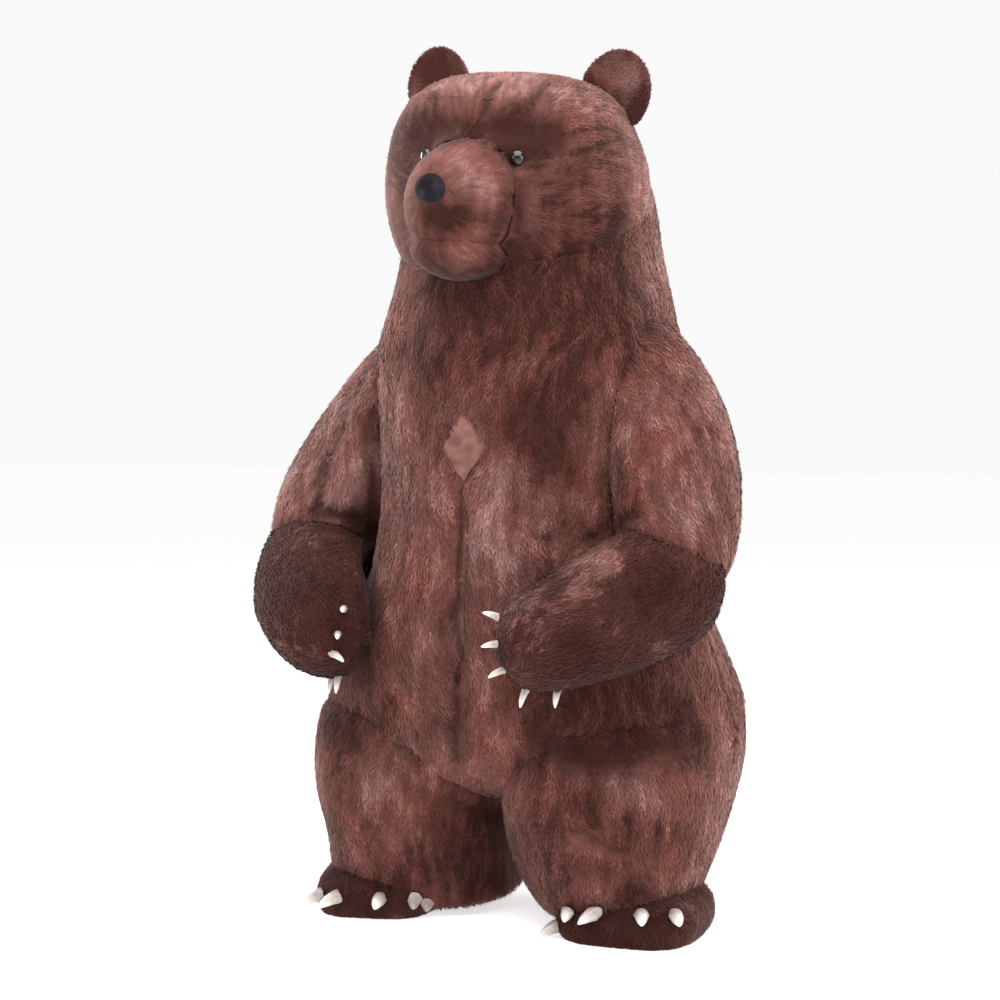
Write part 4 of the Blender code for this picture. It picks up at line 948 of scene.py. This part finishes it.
def blades(name, points, facing, lie, long, wide, tone, shade, look, rng, lift):
    """A joined mesh of tapered blades, each of four corners, bent over as it rises."""
    count = len(points)
    turn = rng.normal(0, TURN_SPREAD, count)
    across = np.cross(facing, lie)
    lie = lie * np.cos(turn)[:, None] + across * np.sin(turn)[:, None]
    across = np.cross(facing, lie)
    roll = rng.normal(0, ROLL_SPREAD, count)[:, None]
    across = unit(across + facing * roll)
    long = long * rng.uniform(*LONG_RANGE, count)[:, None]
    wide = wide * rng.uniform(*WIDE_RANGE, count)[:, None]
    rise, lay_over = (
        np.radians(angle + rng.normal(0, LIFT_SPREAD, count))[:, None] for angle in lift
    )
    root = points - facing * ROOT_DEPTH
    middle = root + long * 0.5 * (lie * np.cos(rise) + facing * np.sin(rise))
    tip = middle + long * 0.5 * (lie * np.cos(lay_over) + facing * np.sin(lay_over))
    corners = np.stack([root, middle - across * wide / 2, middle + across * wide / 2, tip], 1)
    corners[..., 2] = np.maximum(corners[..., 2], OFF_FLOOR)
    mesh = bpy.data.meshes.new(name)
    mesh.vertices.add(count * 4)
    mesh.vertices.foreach_set("co", corners.ravel())
    start = np.arange(count)[:, None] * 4
    turns = np.array([0, 1, 2, 1, 3, 2])
    mesh.loops.add(count * 6)
    mesh.loops.foreach_set("vertex_index", (start + turns).ravel())
    mesh.polygons.add(count * 2)
    mesh.polygons.foreach_set("loop_start", np.arange(0, count * 6, 3))
    mesh.polygons.foreach_set("loop_total", np.full(count * 2, 3))
    mesh.update(calc_edges=True)
    low = unit(facing + lie * LEAN_ROOT)
    side = across * LEAN_SIDE
    high = unit(facing + lie * LEAN_TIP)
    soft = np.stack([low, unit(facing - side), unit(facing + side), high], 1)
    mesh.normals_split_custom_set_from_vertices(soft.reshape(-1, 3))
    tone = np.clip(tone + rng.normal(0, TONE_SPREAD, count), 0, 1)[:, None]
    store_pile(mesh, tone, HEIGHTS, shade[:, None], hue_at(points)[:, None])
    mesh.materials.append(look)
    piece = bpy.data.objects.new(name, mesh)
    bpy.context.scene.collection.objects.link(piece)
    return piece


def paint_cloth(piece, laid, look, tone):
    """Gives the cloth the same tone, painted light and painted shade as the pile on it, at the
    pile's roots.
    """
    points, facing = mesh_arrays(piece.data)
    _, dark = crease_at(points, facing, laid)
    lay = np.clip(tone_and_painted_light_at(points) + tone, 0, 1)
    # A height of 0.4 gives the cloth the painted shade of the pile's roots.
    store_pile(piece.data, lay, 0.4, dark, hue_at(points))
    piece.data.materials.append(look)


def make_cloth_piece(number, node, looks, laid):
    """One cut piece of the suit: its cloth and the pile on it."""
    dark = node.startswith(("forearm", "foot"))
    slot = "fur_dark" if dark else "fur_brown"
    cloth, limb = cloth_shell(node, laid)
    rng = np.random.default_rng(100 + number)
    kind = PILES[limb.pile]
    add_allowance(cloth, SEAMS[limb.seam])
    _, _, area = scatter(cloth.data, 1, rng)
    share = SHARE * (BACK_SHARE if node.startswith("back") else 1)
    count = int(area * kind.count * share)
    points, facing, _ = scatter(cloth.data, count, rng)
    _, shade = crease_at(points, facing, laid)
    lie = comb(points, facing, limb)
    tone = tone_and_painted_light_at(points) + kind.tone + STREAK * streaks(points, lie, kind.wide * 2)
    long = (kind.long * (1 - SHORTER * shade) * growth(points, limb))[:, None]
    pile = blades(
        f"pile_{node}", points, facing, lie, long, kind.wide,
        tone, shade, looks[slot], rng, (kind.rise, kind.lay),
    )
    paint_cloth(cloth, laid, looks[slot], kind.tone)
    finish_modifier(cloth, "SOLIDIFY", thickness=CLOTH_THICK, offset=-1.0, use_even_offset=False)
    cloth.data.shade_smooth()
    settle(slot, cloth, pile)
    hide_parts(node)
    return cloth, pile


def make_fuzz(name, points, facing, lie, tone, look, rng, kind):
    """The short pile of a pad, with no shade in it."""
    long, shade = np.full((len(points), 1), kind.long), np.zeros(len(points))
    return blades(
        name, points, facing, lie, long, kind.wide,
        np.clip(tone, 0, 1), shade, look, rng, (kind.rise, kind.lay),
    )


def make_ear(number, node, looks, centre):
    """A stuffed ear back or an ear lining, with short pile combed out from its middle."""
    dark = node.startswith("ear_front")
    slot = "fur_dark" if dark else "fur_brown"
    pad = copy_of(node, f"cloth_{node}")
    finish_modifier(pad, "SUBSURF", levels=2, render_levels=2)
    rng = np.random.default_rng(300 + number)
    points, facing, _ = scatter(pad.data, EAR_FUZZ.blades, rng)
    seen = facing[:, 1] < -0.2 if dark else facing[:, 1] > -0.9
    points, facing = points[seen], facing[seen]
    out = unit(along_surface(points - np.array(centre), facing) + np.array([0, 0, 0.002]))
    tone = tone_and_painted_light_at(points) + (0.12 if dark else 0.20)
    pile = make_fuzz(f"pile_{node}", points, facing, out, tone, looks[slot], rng, EAR_FUZZ)
    everywhere, _ = mesh_arrays(pad.data)
    # The pad gets the painted light of the patches and a little painted shade, as at the pile's
    # roots.
    store_pile(pad.data, tone_and_painted_light_at(everywhere), 0.35, 0.0, hue_at(everywhere))
    pad.data.materials.append(looks[slot])
    pad.data.shade_smooth()
    settle(slot, pad, pile)
    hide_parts(node)


def make_window(look):
    """The diamond of smooth cloth in the chest, a little slack."""
    pane = copy_of("window", "window_pane")
    finish_modifier(pane, "SUBSURF", levels=2, render_levels=2, subdivision_type="SIMPLE")
    points, _ = mesh_arrays(pane.data)
    slack = 0.0014 * ripple(points, 0.035, 2.0) + 0.0008 * ripple(points, 0.014, 9.0)
    points[:, 1] += slack
    pane.data.vertices.foreach_set("co", points.ravel())
    pane.data.materials.append(look)
    pane.data.shade_smooth()
    bpy.ops.object.shade_smooth_by_angle(angle=math.radians(45))
    settle("window_cloth", pane)
    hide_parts("window")


def make_eyes(look):
    """Two polished domes, each with a narrow lip where it is set into the cloth."""
    for node, centre in EYES.items():
        eye = copy_of(node, node.replace("eye", "eye_dome"))
        finish_modifier(eye, "SUBSURF", levels=2, render_levels=2)
        points, _ = mesh_arrays(eye.data)
        points = points - np.array(centre)
        points *= EYE_RADIUS / np.linalg.norm(points, axis=1).max()
        gaze = unit(np.array(centre) - np.array([MIDDLE[0], MIDDLE[1], centre[2]]))
        ahead = points @ gaze
        out = unit(points - ahead[:, None] * gaze)
        lip = LIP_OUT * np.exp(-(((ahead + LIP_BACK) / LIP_WIDE) ** 2))
        flatter = EYE_FLATTER * np.maximum(ahead, 0)
        points = points + out * lip[:, None] - gaze * flatter[:, None]
        eye.data.vertices.foreach_set("co", (points + np.array(centre)).ravel())
        eye.data.materials.append(look)
        eye.data.shade_smooth()
        settle("eye_gloss", eye)
        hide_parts(node)


def make_nose(look):
    """A stuffed nose in very short dark pile, with two shallow nostrils."""
    bpy.ops.object.select_all(action="DESELECT")
    bpy.ops.mesh.primitive_uv_sphere_add(
        segments=48, ring_count=24, radius=1, location=NOSE_CENTRE,
        rotation=(0, 0, math.radians(NOSE_TURN)), scale=tuple(s - NOSE_SINK for s in NOSE_SIZE),
    )
    nose = bpy.context.object
    nose.name = "nose_pad"
    bpy.ops.object.transform_apply(location=True, rotation=True, scale=True)
    put_in_order(nose.data)
    points, facing = mesh_arrays(nose.data)
    local = points - np.array(NOSE_CENTRE)
    for side in (-NOSTRIL_APART, NOSTRIL_APART):
        away = np.hypot(local[:, 0] - side, local[:, 2] + NOSTRIL_LOW) / NOSTRIL_WIDE
        dent = NOSTRIL_DEEP * np.exp(-(away**2)) * (local[:, 1] < 0)
        points = points - facing * dent[:, None]
    nose.data.vertices.foreach_set("co", points.ravel())
    nose.data.update()
    rng = np.random.default_rng(500)
    points, facing, _ = scatter(nose.data, NOSE_FUZZ.blades, rng)
    seen = facing[:, 1] < 0.35
    points, facing = points[seen], facing[seen]
    down = unit(np.array([0.0, 0.0, -1.0]) + facing * 0.2)
    lie = unit(along_surface(down, facing))
    tone = np.clip(0.5 + 0.3 * ripple(points, 0.02, 4.0), 0, 1)
    fuzz = make_fuzz("pile_nose", points, facing, lie, tone, look, rng, NOSE_FUZZ)
    # The pad takes a little painted shade, as at the pile's roots.
    store_pile(nose.data, np.full(len(nose.data.vertices), 0.4), 0.5, 0.0, 1.0)
    nose.data.materials.append(look)
    nose.data.shade_smooth()
    settle("nose_pile", nose, fuzz)
    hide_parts("nose")


def make_claws(look):
    """Every claw, rounded, with its root marked for its greyer colour."""
    for node in sorted(name for name in NODES if name.startswith("claw")):
        claw = copy_of(node, node.replace("claw", "horn"))
        with editing(claw):
            bpy.ops.mesh.tris_convert_to_quads(
                face_threshold=math.radians(50), shape_threshold=math.radians(60)
            )
        finish_modifier(claw, "SUBSURF", levels=2, render_levels=2)
        points, facing = mesh_arrays(claw.data)
        points = points + facing * CLAW_SWELL
        claw.data.vertices.foreach_set("co", points.ravel())
        middle = points.mean(axis=0)
        axis = np.linalg.svd(points - middle)[2][0]
        reach = (points - middle) @ axis
        girth = np.linalg.norm(np.cross(points - middle, axis), axis=1)
        if girth[reach >= 0].mean() <= girth[reach < 0].mean():
            reach = -reach
        root = (reach - reach.min()) / np.ptp(reach)
        claw.data.attributes.new("root", "FLOAT", "POINT").data.foreach_set("value", root)
        claw.data.materials.append(look)
        claw.data.shade_smooth()
        settle("claw_ivory", claw)
        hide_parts(node)


# ---- studio ----


def make_studio():
    """A pale floor, a white surround and soft lamps."""
    bpy.ops.object.select_all(action="DESELECT")
    bpy.ops.mesh.primitive_plane_add(size=80, location=(0, 0, -0.001))
    floor = bpy.context.object
    floor.name = "studio_floor"
    look = bpy.data.materials.new("studio_floor")
    look.use_nodes = True
    shader = look.node_tree.nodes["Principled BSDF"]
    set_inputs(
        shader, Base_Color=(FLOOR_WHITE, FLOOR_WHITE, FLOOR_WHITE, 1), Roughness=0.8,
        Emission_Color=(1, 1, 1, 1), Emission_Strength=FLOOR_GLOW,
    )
    floor.data.materials.append(look)

    world = bpy.data.worlds.new("studio")
    bpy.context.scene.world = world
    world.use_nodes = True
    tree = world.node_tree
    seen = tree.nodes["Background"]
    set_inputs(seen, Color=(1, 1, 1, 1), Strength=SKY_SEEN)
    lit = tree.nodes.new("ShaderNodeBackground")
    set_inputs(lit, Color=(1.0, 0.98, 0.97, 1), Strength=SKY_LIGHT)
    path = tree.nodes.new("ShaderNodeLightPath")
    mix = tree.nodes.new("ShaderNodeMixShader")
    link(tree, path.outputs["Is Camera Ray"], mix.inputs["Fac"])
    link(tree, lit.outputs[0], mix.inputs[1])
    link(tree, seen.outputs[0], mix.inputs[2])
    link(tree, mix.outputs[0], tree.nodes["World Output"].inputs["Surface"])

    target = Vector((MIDDLE[0], MIDDLE[1], LAMPS_AIM))
    for lamp in LAMPS:
        light = bpy.data.lights.new(lamp.name, "AREA")
        light.size = lamp.size
        light.energy = lamp.power
        turn = math.radians(lamp.turn)
        place = target + Vector((math.sin(turn) * lamp.away, -math.cos(turn) * lamp.away, 0))
        place.z = lamp.height
        made = bpy.data.objects.new(lamp.name, light)
        made.location = place
        made.rotation_euler = (target - place).to_track_quat("-Z", "Y").to_euler()
        bpy.context.scene.collection.objects.link(made)
    bpy.context.scene.view_settings.view_transform = "Standard"


def make_camera():
    """Stands in front of the suit, a little to its left, and looks slightly down."""
    turn = math.radians(CAMERA_TURN)
    camera = bpy.data.cameras.new("camera")
    camera.lens = CAMERA_LENS
    camera.sensor_width = SENSOR
    made = bpy.data.objects.new("camera", camera)
    made.location = (
        MIDDLE[0] + CAMERA_AWAY * math.sin(turn),
        MIDDLE[1] - CAMERA_AWAY * math.cos(turn),
        CAMERA_HEIGHT,
    )
    made.rotation_euler = (math.radians(90 - CAMERA_DOWN), 0, turn + math.radians(CAMERA_YAW))
    bpy.context.scene.collection.objects.link(made)
    bpy.context.scene.camera = made


def main():
    make_camera()
    make_studio()
    group = pile_group()
    looks = {
        name: pile_material(name, group, *colours) for name, colours in PILE_COLOURS.items()
    }
    laid = lay_creases(outside_of())
    for number, (node, cut) in enumerate(CUTS.items()):
        cloth, pile = make_cloth_piece(number, node, looks, laid)
    for number, side in enumerate(("left", "right")):
        low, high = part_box(f"ear_back_{side}")
        middle = [(a + b) / 2 for a, b in zip(low, high)]
        for part, node in enumerate((f"ear_back_{side}", f"ear_front_{side}")):
            make_ear(number * 2 + part, node, looks, middle)
    make_window(window_material())
    make_eyes(eye_material())
    make_nose(looks["nose_pile"])
    make_claws(claw_material())


main()
